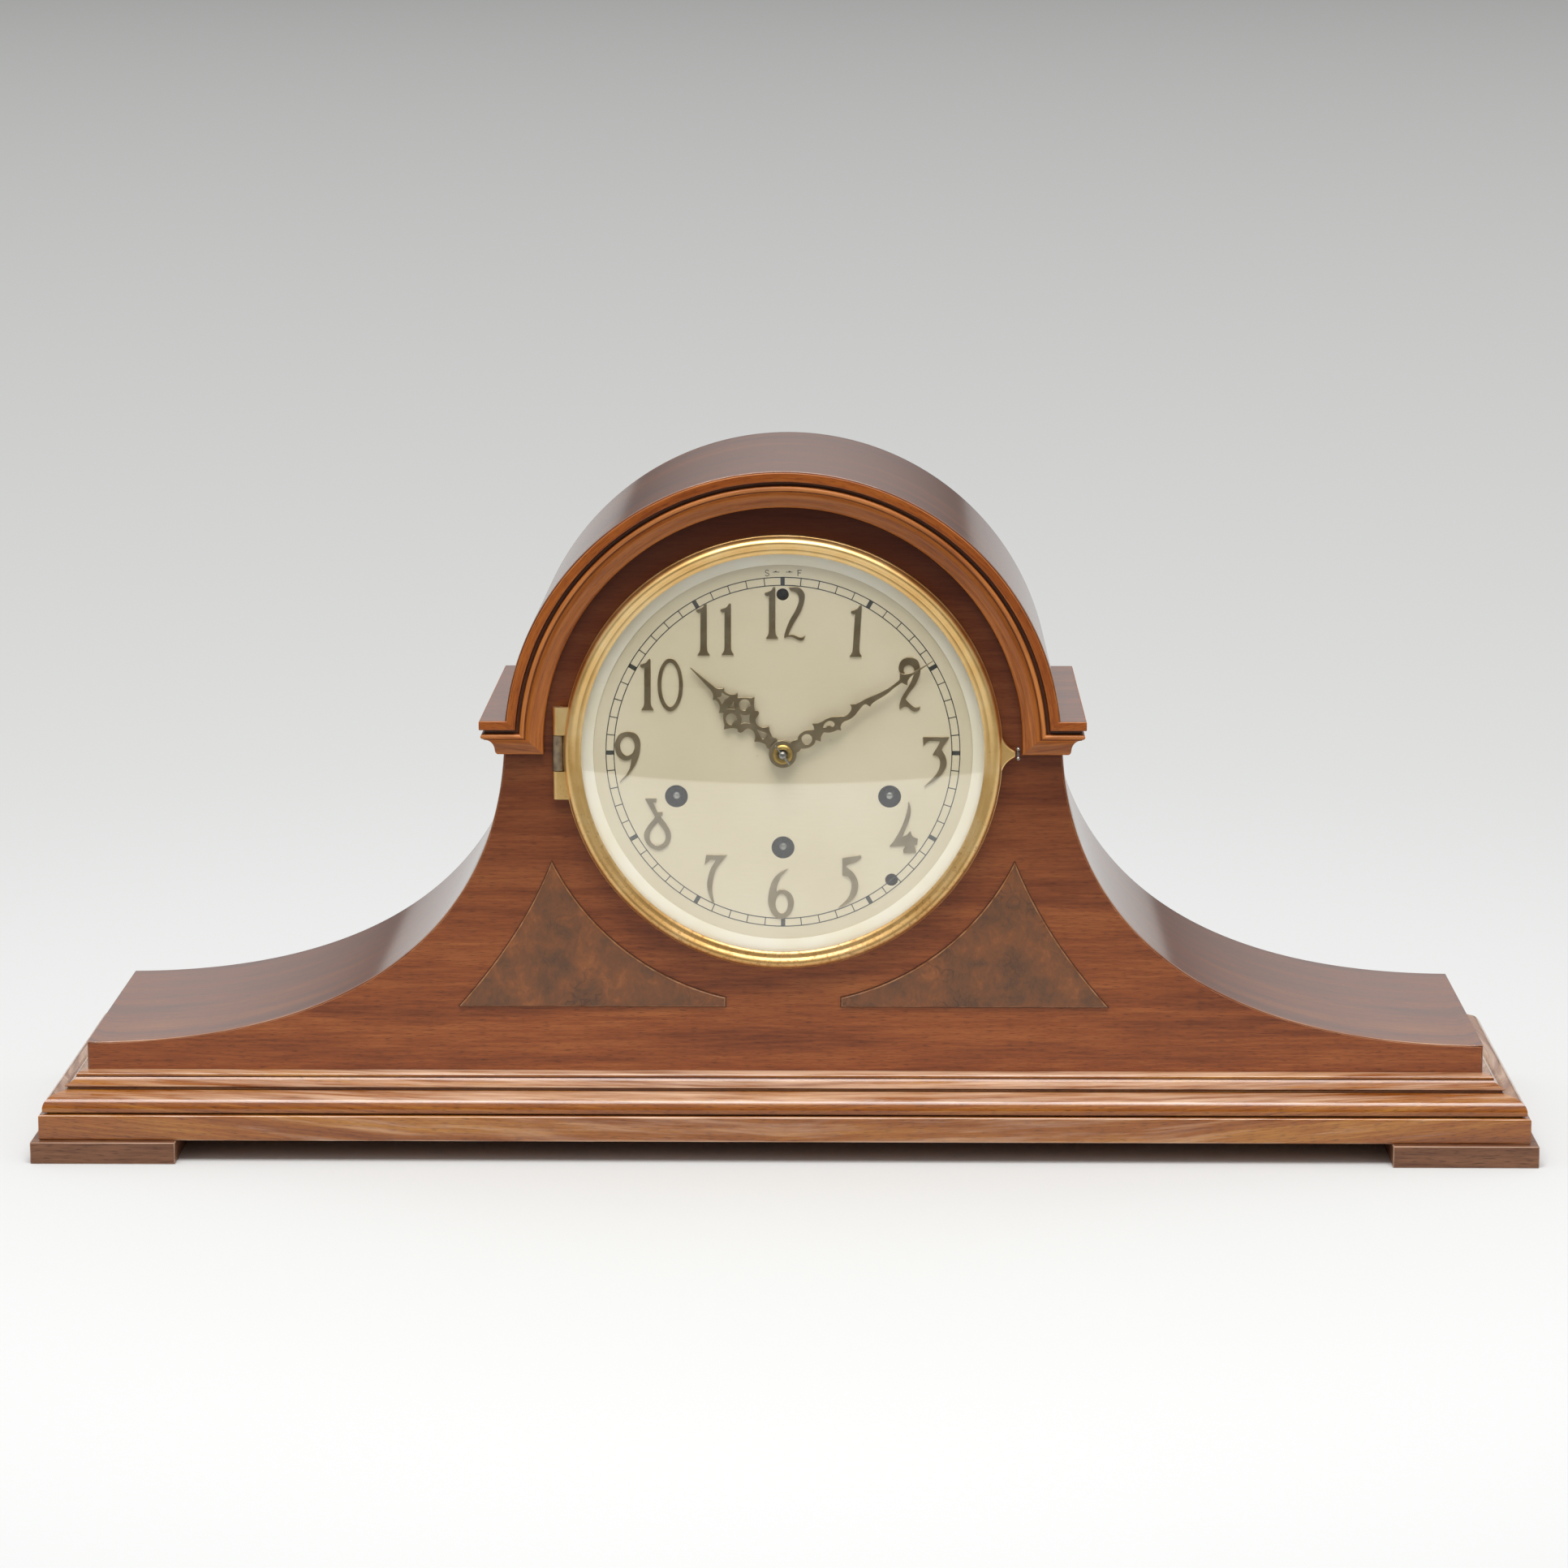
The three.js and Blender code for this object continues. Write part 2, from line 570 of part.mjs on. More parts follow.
// Burl panels: three sided, hollow towards the bezel and towards the sweep
function burlPanel() {
  const foot = BASE_TOP + PANEL_FOOT;
  const shape = new THREE.Shape();
  const tipX = PANEL_ARC * Math.cos(PANEL_TIP);
  const endAngle = -Math.acos(PANEL_INNER / PANEL_ARC);
  const tipZ = DIAL_Z - PANEL_ARC * Math.sin(PANEL_TIP);
  const middleX = tipX + PANEL_SPREAD / 2;
  shape.moveTo(PANEL_INNER, foot);
  shape.lineTo(tipX + PANEL_SPREAD, foot);
  shape.quadraticCurveTo(middleX - PANEL_HOLLOW, (tipZ + foot) / 2, tipX, tipZ);
  shape.absarc(0, DIAL_Z, PANEL_ARC, -PANEL_TIP, endAngle, true);
  return plate(shape, -PANEL_THICKNESS, 0, 12);
}

add('burl_panel_right', burlPanel(), burl);
add('burl_panel_left', mirrored(burlPanel()), burl);

// Back door, hung on a butt hinge and held by a turn button
const doorHingeX = -(DOOR_RADIUS + DOOR_KNUCKLE + 2 * SEAT);
const doorHingeY = CASE_DEPTH + DOOR_LEAF + KNUCKLE_LIFT;
const doorKnuckleHalf = DOOR_LEAF_HALF / 3;
const knuckle = (radius, x, y, z0, z1) => rod(radius, [x, y, z0], [x, y, z1]);

add('back_door', plate(disc(DOOR_RADIUS, 0, DOOR_Z), DOOR_FRONT, DOOR_BACK), plainWood);

function doorHingeFixed() {
  const low = DOOR_Z - DOOR_LEAF_HALF;
  const high = DOOR_Z + DOOR_LEAF_HALF;
  const leaf = block(doorHingeX - DOOR_LEAF_WIDTH, doorHingeX, CASE_DEPTH, CASE_DEPTH + DOOR_LEAF, low, high);
  const gap = doorKnuckleHalf + SEAT;
  const lower = knuckle(DOOR_KNUCKLE, doorHingeX, doorHingeY, low, DOOR_Z - gap);
  const upper = knuckle(DOOR_KNUCKLE, doorHingeX, doorHingeY, DOOR_Z + gap, high);
  const bore = knuckle(HINGE_PIN + RUN, doorHingeX, doorHingeY, low - INTO, high + INTO);
  const notch = block(doorHingeX - DOOR_KNUCKLE - SEAT, doorHingeX + DOOR_KNUCKLE, CASE_DEPTH - INTO,
    CASE_DEPTH + 2 * DOOR_LEAF, DOOR_Z - gap, DOOR_Z + gap);
  return cut(join(leaf, lower, upper), bore, notch);
}

function doorHingeMoving() {
  const z0 = DOOR_Z - doorKnuckleHalf;
  const z1 = DOOR_Z + doorKnuckleHalf;
  const barrel = knuckle(DOOR_KNUCKLE, doorHingeX, doorHingeY, z0, z1);
  const reach = doorHingeX + DOOR_LEAF_WIDTH;
  const leaf = block(doorHingeX, reach, DOOR_BACK, DOOR_BACK + DOOR_LEAF, z0, z1);
  const web = block(doorHingeX, doorHingeX + DOOR_KNUCKLE, doorHingeY, DOOR_BACK + DOOR_LEAF, z0, z1);
  const bore = knuckle(HINGE_PIN + RUN, doorHingeX, doorHingeY, z0 - INTO, z1 + INTO);
  return cut(join(barrel, leaf, web), bore);
}

add('door_hinge_leaf', doorHingeFixed(), brass);
add('door_hinge_strap', doorHingeMoving(), brass);
const doorPinEnds = [DOOR_Z - DOOR_LEAF_HALF, DOOR_Z + DOOR_LEAF_HALF];
add('door_hinge_pin', knuckle(HINGE_PIN, doorHingeX, doorHingeY, ...doorPinEnds), steel);

const buttonX = DOOR_RADIUS + BUTTON_WIDTH;

function turnButton() {
  const boss = rod(BUTTON_RADIUS, [buttonX, CASE_DEPTH + SEAT, DOOR_Z], [buttonX, REAR, DOOR_Z]);
  const arm = new THREE.Shape();
  arm.absarc(buttonX, DOOR_Z, BUTTON_WIDTH / 2, Math.PI, 2 * Math.PI, false);
  arm.absarc(buttonX, DOOR_Z + BUTTON_ARM, BUTTON_WIDTH / 3, 0, Math.PI, false);
  return join(boss, plate(arm, BUTTON_FRONT, REAR, 8));
}

add('door_turn_button', turnButton(), brass);

// Dial: a sheet with key holes, held on the face of the front board
const windingPlaces = [['strike', -SIDE_BARREL_X, SIDE_BARREL_Z], ['chime', SIDE_BARREL_X, SIDE_BARREL_Z],
  ['time', 0, TIME_BARREL_Z]];
const cannonRadius = CENTER_ARBOR + SEAT + PIPE_WALL;
const hourPipe = cannonRadius + RUN + PIPE_WALL;
const dialShape = disc(DIAL_RADIUS, 0, DIAL_Z);
for (const [, x, z] of windingPlaces) {
  circleHole(dialShape, x, DIAL_Z + z, KEY_HOLE, 20);
}
circleHole(dialShape, 0, DIAL_Z, hourPipe + RUN);
circleHole(dialShape, 0, DIAL_Z + REGULATOR_Z, REGULATOR_HOLE);
circleHole(dialShape, LEVER_X, DIAL_Z + LEVER_Z, LEVER_HOLE);
add('dial', plate(dialShape, -DIAL_THICKNESS, 0), silverDial);

// Bezel: a rolled brass ring with two knuckles and a lifting lug
const BEZEL_SIDES = 44;
// The rolled face, in shares of the width from the rim inwards and of the depth
const BEZEL_SECTION = [
  [0, 0.6], [0.25, 0.75], [0.32, 0.95], [0.45, 1], [0.56, 0.93], [0.64, 0.8], [0.78, 0.84], [0.92, 0.8],
  [1, 0.72],
];

function bezelRing() {
  const rim = -SEAT;
  const width = BEZEL_RADIUS - BEZEL_INNER;
  const clearDial = DIAL_RADIUS + 2 * SEAT;
  const behind = -GLASS_FRONT + GLASS_THICKNESS;
  const face = BEZEL_SECTION.map(([across, out]) => [BEZEL_RADIUS - across * width, -out * BEZEL_DEPTH]);
  const section = [
    [clearDial, rim], [BEZEL_RADIUS, rim], ...face, [BEZEL_INNER, -GLASS_FRONT - SEAT],
    [GLASS_SEAT + SEAT, -GLASS_FRONT - SEAT], [GLASS_SEAT + SEAT, behind], [clearDial, behind],
  ];
  return turned([...section, section[0]], 0, DIAL_Z, BEZEL_SIDES);
}

function bezel() {
  const pieces = [];
  for (const side of [-1, 1]) {
    const near = DIAL_Z + side * (HINGE_MIDDLE + SEAT);
    const far = DIAL_Z + side * HINGE_HALF;
    const z = [Math.min(near, far), Math.max(near, far)];
    pieces.push(knuckle(HINGE_KNUCKLE, -HINGE_X, -HINGE_Y, ...z));
    const joinX = -Math.sqrt(BEZEL_RADIUS ** 2 - HINGE_HALF ** 2) + INTO;
    pieces.push(block(-HINGE_X, joinX, -HINGE_Y - HINGE_KNUCKLE, -HINGE_Y + HINGE_KNUCKLE / 2, ...z));
  }
  const lugFront = -HINGE_Y - LUG_THICKNESS;
  pieces.push(block(BEZEL_RADIUS - 2 * INTO, BEZEL_RADIUS + LUG_REACH, lugFront, -HINGE_Y,
    DIAL_Z - LUG_HEIGHT / 2, DIAL_Z + LUG_HEIGHT / 2));
  const boreEnds = [DIAL_Z - HINGE_HALF - INTO, DIAL_Z + HINGE_HALF + INTO];
  const bore = knuckle(HINGE_PIN + RUN, -HINGE_X, -HINGE_Y, ...boreEnds);
  return cut(join(bezelRing(), ...pieces), bore);
}

add('bezel_ring', bezel(), giltBrass);

const GLASS_STEPS = 5;

function bezelGlass() {
  const surface = (offset) => {
    const points = [];
    for (let i = 0; i <= GLASS_STEPS; i++) {
      const share = i / GLASS_STEPS;
      points.push([GLASS_SEAT * share, -GLASS_FRONT - GLASS_CROWN * (1 - share ** 2) + offset]);
    }
    return points;
  };
  return turned([...surface(0), ...surface(GLASS_THICKNESS).reverse()], 0, DIAL_Z, BEZEL_SIDES);
}

add('bezel_glass', bezelGlass(), clearGlass);

function sightRing() {
  const front = -GLASS_FRONT + GLASS_THICKNESS + SEAT;
  const back = -DIAL_THICKNESS - SEAT;
  const section = [[GLASS_SEAT, front], [BEZEL_INNER, front], [SIGHT_INNER, back - SEAT], [SIGHT_INNER, back],
    [GLASS_SEAT, back], [GLASS_SEAT, front]];
  return turned(section, 0, DIAL_Z, BEZEL_SIDES);
}

add('sight_ring', sightRing(), giltBrass);

function bezelHingeLeaf() {
  const z = [DIAL_Z - HINGE_MIDDLE, DIAL_Z + HINGE_MIDDLE];
  const barrel = knuckle(HINGE_KNUCKLE, -HINGE_X, -HINGE_Y, ...z);
  const half = HINGE_KNUCKLE / 2;
  const neck = block(-HINGE_X - half, -HINGE_X + half, -HINGE_Y, HINGE_LEAF + SEAT, ...z);
  const leaf = block(-HINGE_X - half, -HINGE_X + HINGE_LEAF_LENGTH, SEAT, HINGE_LEAF + SEAT, ...z);
  const bore = knuckle(HINGE_PIN + RUN, -HINGE_X, -HINGE_Y, z[0] - INTO, z[1] + INTO);
  return cut(join(barrel, neck, leaf), bore);
}

add('bezel_hinge_leaf', bezelHingeLeaf(), bronze);
const bezelPinEnds = [DIAL_Z - HINGE_HALF, DIAL_Z + HINGE_HALF];
add('bezel_hinge_pin', knuckle(HINGE_PIN, -HINGE_X, -HINGE_Y, ...bezelPinEnds), steel);

function bezelCatch() {
  const x = BEZEL_RADIUS + LUG_REACH + PRONG_RADIUS + SEAT;
  const half = PRONG_SPREAD / 2;
  const foot = block(x - PRONG_RADIUS, x + PRONG_RADIUS, -PRONG_RADIUS, 0, DIAL_Z - half, DIAL_Z + half);
  const prong = (z) => rod(PRONG_RADIUS, [x, -PRONG_HEIGHT, z], [x, 0, z], 8);
  return join(foot, prong(DIAL_Z - half), prong(DIAL_Z + half));
}

add('bezel_catch', bezelCatch(), steel);

// Hands: half widths along the length, turned to the time shown
const HOUR_OUTLINE = [[0.14, 0.04], [0.2, 0.04], [0.28, 0.07], [0.36, 0.035], [0.44, 0.055], [0.5, 0.12],
  [0.56, 0.12], [0.62, 0.05], [0.72, 0.09], [0.83, 0.03], [0.86, 0.055], [1, 0.006]];
const MINUTE_OUTLINE = [[0.1, 0.03], [0.16, 0.05], [0.24, 0.05], [0.3, 0.018], [0.36, 0.05], [0.44, 0.055],
  [0.52, 0.02], [0.64, 0.02], [0.7, 0.045], [0.78, 0.018], [1, 0.005]];

function hand(outline, length, angle, bore, front) {
  const right = outline.map(([along, half]) => new THREE.Vector2(half * length, along * length));
  const left = right.map((point) => new THREE.Vector2(-point.x, point.y)).reverse();
  const blade = plate(new THREE.Shape([...right, ...left]), front, front + HAND_THICKNESS);
  const hub = rod(HUB_RADIUS, [0, front, 0], [0, front + HAND_THICKNESS, 0], 32);
  const [rootEnd, rootHalf] = outline[0].map((share) => share * length);
  const root = block(-rootHalf, rootHalf, front, front + HAND_THICKNESS, 0, rootEnd + SEAT);
  const hole = rod(bore, [0, front - INTO, 0], [0, front + HAND_THICKNESS + INTO, 0], 12);
  const pieces = cut(join(hub, root, blade), hole);
  return pieces.rotateY(THREE.MathUtils.degToRad(angle)).translate(0, 0, DIAL_Z);
}

const hourFront = -DIAL_THICKNESS - HAND_GAP - HAND_THICKNESS;
const minuteFront = hourFront - HAND_GAP - HAND_THICKNESS;
const washerFront = minuteFront - SEAT - WASHER_HEIGHT;
const taperY = washerFront - SEAT - TAPER_RADIUS;
const arborTip = taperY - 3 * TAPER_RADIUS;
const hourBore = hourPipe + SEAT;
const minuteBore = cannonRadius + SEAT;
add('hour_hand', hand(HOUR_OUTLINE, HOUR_LENGTH, HOUR_ANGLE, hourBore, hourFront), bronze);
add('minute_hand', hand(MINUTE_OUTLINE, MINUTE_LENGTH, MINUTE_ANGLE, minuteBore, minuteFront), bronze);

const washerBack = washerFront + WASHER_HEIGHT;
const washerBore = CENTER_ARBOR + SEAT;
const washerTop = WASHER_RADIUS - WASHER_HEIGHT;
const washerSection = [[washerBore, washerFront], [washerTop, washerFront], [WASHER_RADIUS, washerBack],
  [washerBore, washerBack], [washerBore, washerFront]];
add('hand_washer', turned(washerSection, 0, DIAL_Z), brass);

const TAPER_LIE = THREE.MathUtils.degToRad(-50); // how the pin lies across the hands

function taperPin(radius, length) {
  const x = (Math.cos(TAPER_LIE) * length) / 2;
  const z = (Math.sin(TAPER_LIE) * length) / 2;
  return rod(radius, [-x, taperY, DIAL_Z - z], [x, taperY, DIAL_Z + z], 8);
}

add('taper_pin', taperPin(TAPER_RADIUS, TAPER_LENGTH), steel);

// Wheels: plain slanted teeth with room between them, cut from one outline
const TOOTH_TIP = 0.7; // addendum and dedendum in modules
const TOOTH_ROOT = 1.15;
const ROOT_SHARE = 0.24; // half width at the root as a share of the pitch

function gearShape(teeth, pitchRadius, phase, x, z) {
  const module = (2 * pitchRadius) / teeth;
  const pitch = (2 * Math.PI) / teeth;
  const root = pitchRadius - TOOTH_ROOT * module;
  const corners = [[root, -ROOT_SHARE], [pitchRadius + TOOTH_TIP * module, 0], [root, ROOT_SHARE]];
  const points = [];
  for (let tooth = 0; tooth < teeth; tooth++) {
    for (const [radius, share] of corners) {
      const angle = phase + (tooth + share) * pitch;
      points.push(new THREE.Vector2(x + radius * Math.cos(angle), z + radius * Math.sin(angle)));
    }
  }
  return new THREE.Shape(points);
}

const wheel = (teeth, radius, phase, x, z, front, back) =>
  plate(gearShape(teeth, radius, phase, x, DIAL_Z + z), front, back);
const pitchOf = (teeth, mate, distance) => (distance * teeth) / (teeth + mate);
const UP = Math.PI / 2; // the train stands in one line above the barrel
const inGap = (direction, teeth) => direction + Math.PI / teeth;

// Motion work between the dial and the front plate
const cannonBack = FRONT_PLATE - END_PLAY;
const lowerBack = cannonBack - END_PLAY;
const lowerFront = lowerBack - MOTION_THICKNESS;
const upperBack = lowerFront - 2 * END_PLAY;
const upperFront = upperBack - MOTION_THICKNESS;
const cannonPitch = pitchOf(MOTION_TEETH, MINUTE_WHEEL_TEETH, MOTION_DISTANCE);
const minutePitch = pitchOf(MINUTE_WHEEL_TEETH, MOTION_TEETH, MOTION_DISTANCE);
const minutePinionPitch = pitchOf(MOTION_TEETH, HOUR_WHEEL_TEETH, MOTION_DISTANCE);
const hourPitch = pitchOf(HOUR_WHEEL_TEETH, MOTION_TEETH, MOTION_DISTANCE);

function cannonPinion() {
  const pinion = wheel(MOTION_TEETH, cannonPitch, inGap(0, MOTION_TEETH), 0, 0, lowerFront, lowerBack);
  const pipe = rod(cannonRadius, [0, minuteFront - SEAT / 2, DIAL_Z], [0, cannonBack, DIAL_Z], 12);
  const bore = rod(CENTER_ARBOR + SEAT, [0, minuteFront - INTO, DIAL_Z], [0, cannonBack + INTO, DIAL_Z], 12);
  return cut(join(pipe, pinion), bore);
}

function hourWheel() {
  const teeth = wheel(HOUR_WHEEL_TEETH, hourPitch, 0, 0, 0, upperFront, upperBack);
  const pipe = rod(hourPipe, [0, hourFront, DIAL_Z], [0, upperBack, DIAL_Z], 12);
  const bore = rod(cannonRadius + RUN, [0, hourFront - INTO, DIAL_Z], [0, upperBack + INTO, DIAL_Z], 12);
  return cut(join(pipe, teeth), bore);
}

function minuteWheel() {
  const teeth = wheel(MINUTE_WHEEL_TEETH, minutePitch, Math.PI, MOTION_DISTANCE, 0, lowerFront, lowerBack);
  const pinion = wheel(MOTION_TEETH, minutePinionPitch, inGap(Math.PI, MOTION_TEETH), MOTION_DISTANCE, 0,
    upperFront, lowerFront + SEAT);
  const bore = rod(ARBOR + RUN, [MOTION_DISTANCE, upperFront - INTO, DIAL_Z],
    [MOTION_DISTANCE, lowerBack + INTO, DIAL_Z], 12);
  return cut(join(teeth, pinion), bore);
}

add('cannon_pinion', cannonPinion(), brass);
add('hour_wheel', hourWheel(), brass);
add('minute_wheel', minuteWheel(), brass);

const arborBody = rod(CENTER_ARBOR, [0, arborTip, DIAL_Z], [0, PLATE_BACK, DIAL_Z], 12);
add('center_arbor', cut(arborBody, taperPin(TAPER_RADIUS + SEAT, 2 * TAPER_LENGTH)), steel);

// Movement plates: the front one stands on bosses, the back one carries the pillars
const pillarPlaces = [[-PILLAR_X, PILLAR_LOW], [PILLAR_X, PILLAR_LOW], [-PILLAR_X, PILLAR_HIGH],
  [PILLAR_X, PILLAR_HIGH]];
const trainPlaces = [FIRST_Z, THIRD_Z, ESCAPE_Z];
const barrelFront = TRAIN_FRONT + BARREL_SETBACK;
const crutchFront = PLATE_BACK + CRUTCH_SETBACK;

function plateShape(tongue) {
  const shape = new THREE.Shape();
  shape.moveTo(-PLATE_HALF, DIAL_Z - PLATE_BOTTOM);
  if (tongue) {
    shape.lineTo(HAMMER_X - 2 * HAMMER_HUB, DIAL_Z - PLATE_BOTTOM);
    shape.lineTo(HAMMER_X - HAMMER_HUB, DIAL_Z + HAMMER_Z - HAMMER_HUB);
    shape.lineTo(HAMMER_X + HAMMER_HUB, DIAL_Z + HAMMER_Z - HAMMER_HUB);
    shape.lineTo(HAMMER_X + 2 * HAMMER_HUB, DIAL_Z - PLATE_BOTTOM);
  }
  shape.lineTo(PLATE_HALF, DIAL_Z - PLATE_BOTTOM);
  shape.lineTo(PLATE_HALF, DIAL_Z + PLATE_TOP);
  shape.lineTo(-PLATE_HALF, DIAL_Z + PLATE_TOP);
  for (const z of trainPlaces) {
    circleHole(shape, 0, DIAL_Z + z, PIVOT + RUN);
  }
  circleHole(shape, 0, DIAL_Z, CENTER_ARBOR + RUN);
  circleHole(shape, 0, DIAL_Z + REGULATOR_Z, ARBOR + RUN);
  circleHole(shape, 0, DIAL_Z + ANCHOR_Z, (tongue ? ARBOR : PIVOT) + RUN);
  const windHole = (tongue ? WIND_PIVOT : WIND_ARBOR) + RUN;
  for (const [, x, z] of windingPlaces) {
    circleHole(shape, x, DIAL_Z + z, windHole);
  }
  return shape;
}

function frontPlate() {
  const bosses = pillarPlaces.map(([x, z]) =>
    rod(PILLAR_RADIUS, [x, BOARD, DIAL_Z + z], [x, FRONT_PLATE + PLATE / 2, DIAL_Z + z]));
  const stud = rod(ARBOR, [MOTION_DISTANCE, upperFront - END_PLAY, DIAL_Z],
    [MOTION_DISTANCE, FRONT_PLATE + PLATE / 2, DIAL_Z], 12);
  return join(plate(plateShape(false), FRONT_PLATE, TRAIN_FRONT), ...bosses, stud);
}

const cockBottom = ANCHOR_Z + 3 * ARBOR;

function backPlate() {
  const pillars = pillarPlaces.map(([x, z]) =>
    rod(PILLAR_RADIUS, [x, TRAIN_FRONT, DIAL_Z + z], [x, TRAIN_BACK + PLATE / 2, DIAL_Z + z]));
  const cockFoot = DIAL_Z + cockBottom;
  const cockHalf = 3 * SUSPENSION_HALF;
  const cock = block(-cockHalf, cockHalf, PLATE_BACK - PLATE / 2, PENDULUM_Y + 2 * SUSPENSION_HALF,
    cockFoot, cockFoot + COCK_HEIGHT);
  const slotHalf = SUSPENSION / 2 + SPRING_PLAY;
  const slot = block(-slotHalf, slotHalf, PENDULUM_Y - SUSPENSION_HALF - SEAT, PENDULUM_Y + cockHalf,
    cockFoot - INTO, cockFoot + COCK_HEIGHT + INTO);
  const hammerBar = rod(CHIME_ROD, [HAMMER_X, TRAIN_BACK + PLATE / 2, DIAL_Z + HAMMER_Z],
    [HAMMER_X, CHIME_LAST + HAMMER_HUB, DIAL_Z + HAMMER_Z]);
  return cut(join(plate(plateShape(true), TRAIN_BACK, PLATE_BACK), ...pillars, cock, hammerBar), slot);
}

add('movement_front_plate', frontPlate(), brass);
add('movement_back_plate', backPlate(), brass);

// Barrels: a toothed drum on each winding arbor, with its mainspring inside
const greatPitch = pitchOf(GREAT_TEETH, FIRST_PINION, -TIME_BARREL_Z - CENTER_TO_FIRST);
const greatBack = barrelFront + WHEEL;
const barrelBack = TRAIN_BACK - BARREL_REST;

function barrel(x, z) {
  const bore = WIND_ARBOR + RUN;
  const inside = BARREL_RADIUS - BARREL_WALL;
  const drum = turned([[bore, barrelFront], [BARREL_RADIUS, barrelFront], [BARREL_RADIUS, barrelBack],
    [bore, barrelBack], [bore, barrelBack - BARREL_WALL], [inside, barrelBack - BARREL_WALL],
    [inside, greatBack], [bore, greatBack], [bore, barrelFront]], x, DIAL_Z + z, 18);
  const rim = gearShape(GREAT_TEETH, greatPitch, UP, x, DIAL_Z + z);
  circleHole(rim, x, DIAL_Z + z, BARREL_RADIUS - BARREL_WALL / 2, 18);
  return join(drum, plate(rim, barrelFront, greatBack));
}

function mainspring(x, z) {
  const inner = WIND_ARBOR + RUN + 2 * SPRING_STRIP;
  const outer = BARREL_RADIUS - BARREL_WALL - SEAT;
  const steps = SPRING_TURNS * 10;
  const edge = (offset) => {
    const points = [];
    for (let i = 0; i <= steps; i++) {
      const radius = inner + ((outer - SPRING_STRIP - inner) * i) / steps + offset;
      const angle = (2 * Math.PI * SPRING_TURNS * i) / steps;
      points.push(new THREE.Vector2(x + radius * Math.cos(angle), DIAL_Z + z + radius * Math.sin(angle)));
    }
    return points;
  };
  const strip = new THREE.Shape([...edge(0), ...edge(SPRING_STRIP).reverse()]);
  return plate(strip, greatBack + SEAT, barrelBack - BARREL_WALL - SEAT);
}

function ratchet(x, z, front) {
  const points = [];
  for (let tooth = 0; tooth < RATCHET_TEETH; tooth++) {
    const angle = (2 * Math.PI * tooth) / RATCHET_TEETH;
    for (const radius of [RATCHET_RADIUS, RATCHET_RADIUS * RATCHET_ROOT]) {
      points.push(new THREE.Vector2(x + radius * Math.cos(angle), DIAL_Z + z + radius * Math.sin(angle)));
    }
  }
  return plate(new THREE.Shape(points), front, front + WHEEL);
}

function windingArbor(x, z) {
  const at = (y) => [x, y, DIAL_Z + z];
  const half = WIND_SQUARE / 2;
  const square = block(x - half, x + half, WIND_TIP, BOARD + 2 * INTO, DIAL_Z + z - half, DIAL_Z + z + half);
  const body = rod(WIND_ARBOR, at(BOARD + INTO), at(TRAIN_BACK - END_PLAY));
  const pivot = rod(WIND_PIVOT, at(TRAIN_BACK - INTO), at(PLATE_BACK));
  return join(square, body, pivot, ratchet(x, z, FRONT_PLATE - WHEEL - END_PLAY));
}

for (const [train, x, z] of windingPlaces) {
  add(`${train}_barrel`, barrel(x, z), brass);
  add(`${train}_mainspring`, mainspring(x, z), steel);
  add(`${train}_winding_arbor`, windingArbor(x, z), steel);
}

// Time train, in one line: barrel, intermediate, center, third and escape
const firstPinionPitch = pitchOf(FIRST_PINION, GREAT_TEETH, -TIME_BARREL_Z - CENTER_TO_FIRST);
const firstPitch = pitchOf(FIRST_WHEEL, CENTER_PINION, CENTER_TO_FIRST);
const centerPinionPitch = pitchOf(CENTER_PINION, FIRST_WHEEL, CENTER_TO_FIRST);
const centerPitch = pitchOf(CENTER_TEETH, THIRD_PINION, CENTER_TO_THIRD);
const thirdPinionPitch = pitchOf(THIRD_PINION, CENTER_TEETH, CENTER_TO_THIRD);
const thirdPitch = pitchOf(THIRD_TEETH, ESCAPE_PINION, THIRD_TO_ESCAPE);
const escapePinionPitch = pitchOf(ESCAPE_PINION, THIRD_TEETH, THIRD_TO_ESCAPE);
const firstFront = TRAIN_FRONT + FIRST_SETBACK;
const centerFront = barrelFront + LAYER;
const thirdFront = centerFront + LAYER;
const escapeFront = thirdFront + LAYER;
const pinionFront = (wheelFront) => wheelFront - (PINION - WHEEL) / 2;

function arbor(z) {
  const back = PLATE_BACK - SEAT;
  return turned([[0, FRONT_PLATE + SEAT], [PIVOT, FRONT_PLATE + SEAT], [PIVOT, TRAIN_FRONT + END_PLAY],
    [ARBOR, TRAIN_FRONT + END_PLAY], [ARBOR, TRAIN_BACK - END_PLAY], [PIVOT, TRAIN_BACK - END_PLAY],
    [PIVOT, back], [0, back]], 0, DIAL_Z + z, 8);
}

function trainWheel(z, teeth, wheelFront, leaves, pinionAt) {
  const [wheelTeeth, wheelPitch] = teeth;
  const [pinionTeeth, pinionPitch] = leaves;
  const face = wheel(wheelTeeth, wheelPitch, UP, 0, z, wheelFront, wheelFront + WHEEL);
  const front = pinionFront(pinionAt);
  const pinion = wheel(pinionTeeth, pinionPitch, inGap(-UP, pinionTeeth), 0, z, front, front + PINION);
  return [face, pinion];
}

const firstTeeth = trainWheel(FIRST_Z, [FIRST_WHEEL, firstPitch], firstFront,
  [FIRST_PINION, firstPinionPitch], barrelFront);
add('intermediate_wheel', join(arbor(FIRST_Z), ...firstTeeth), brass);

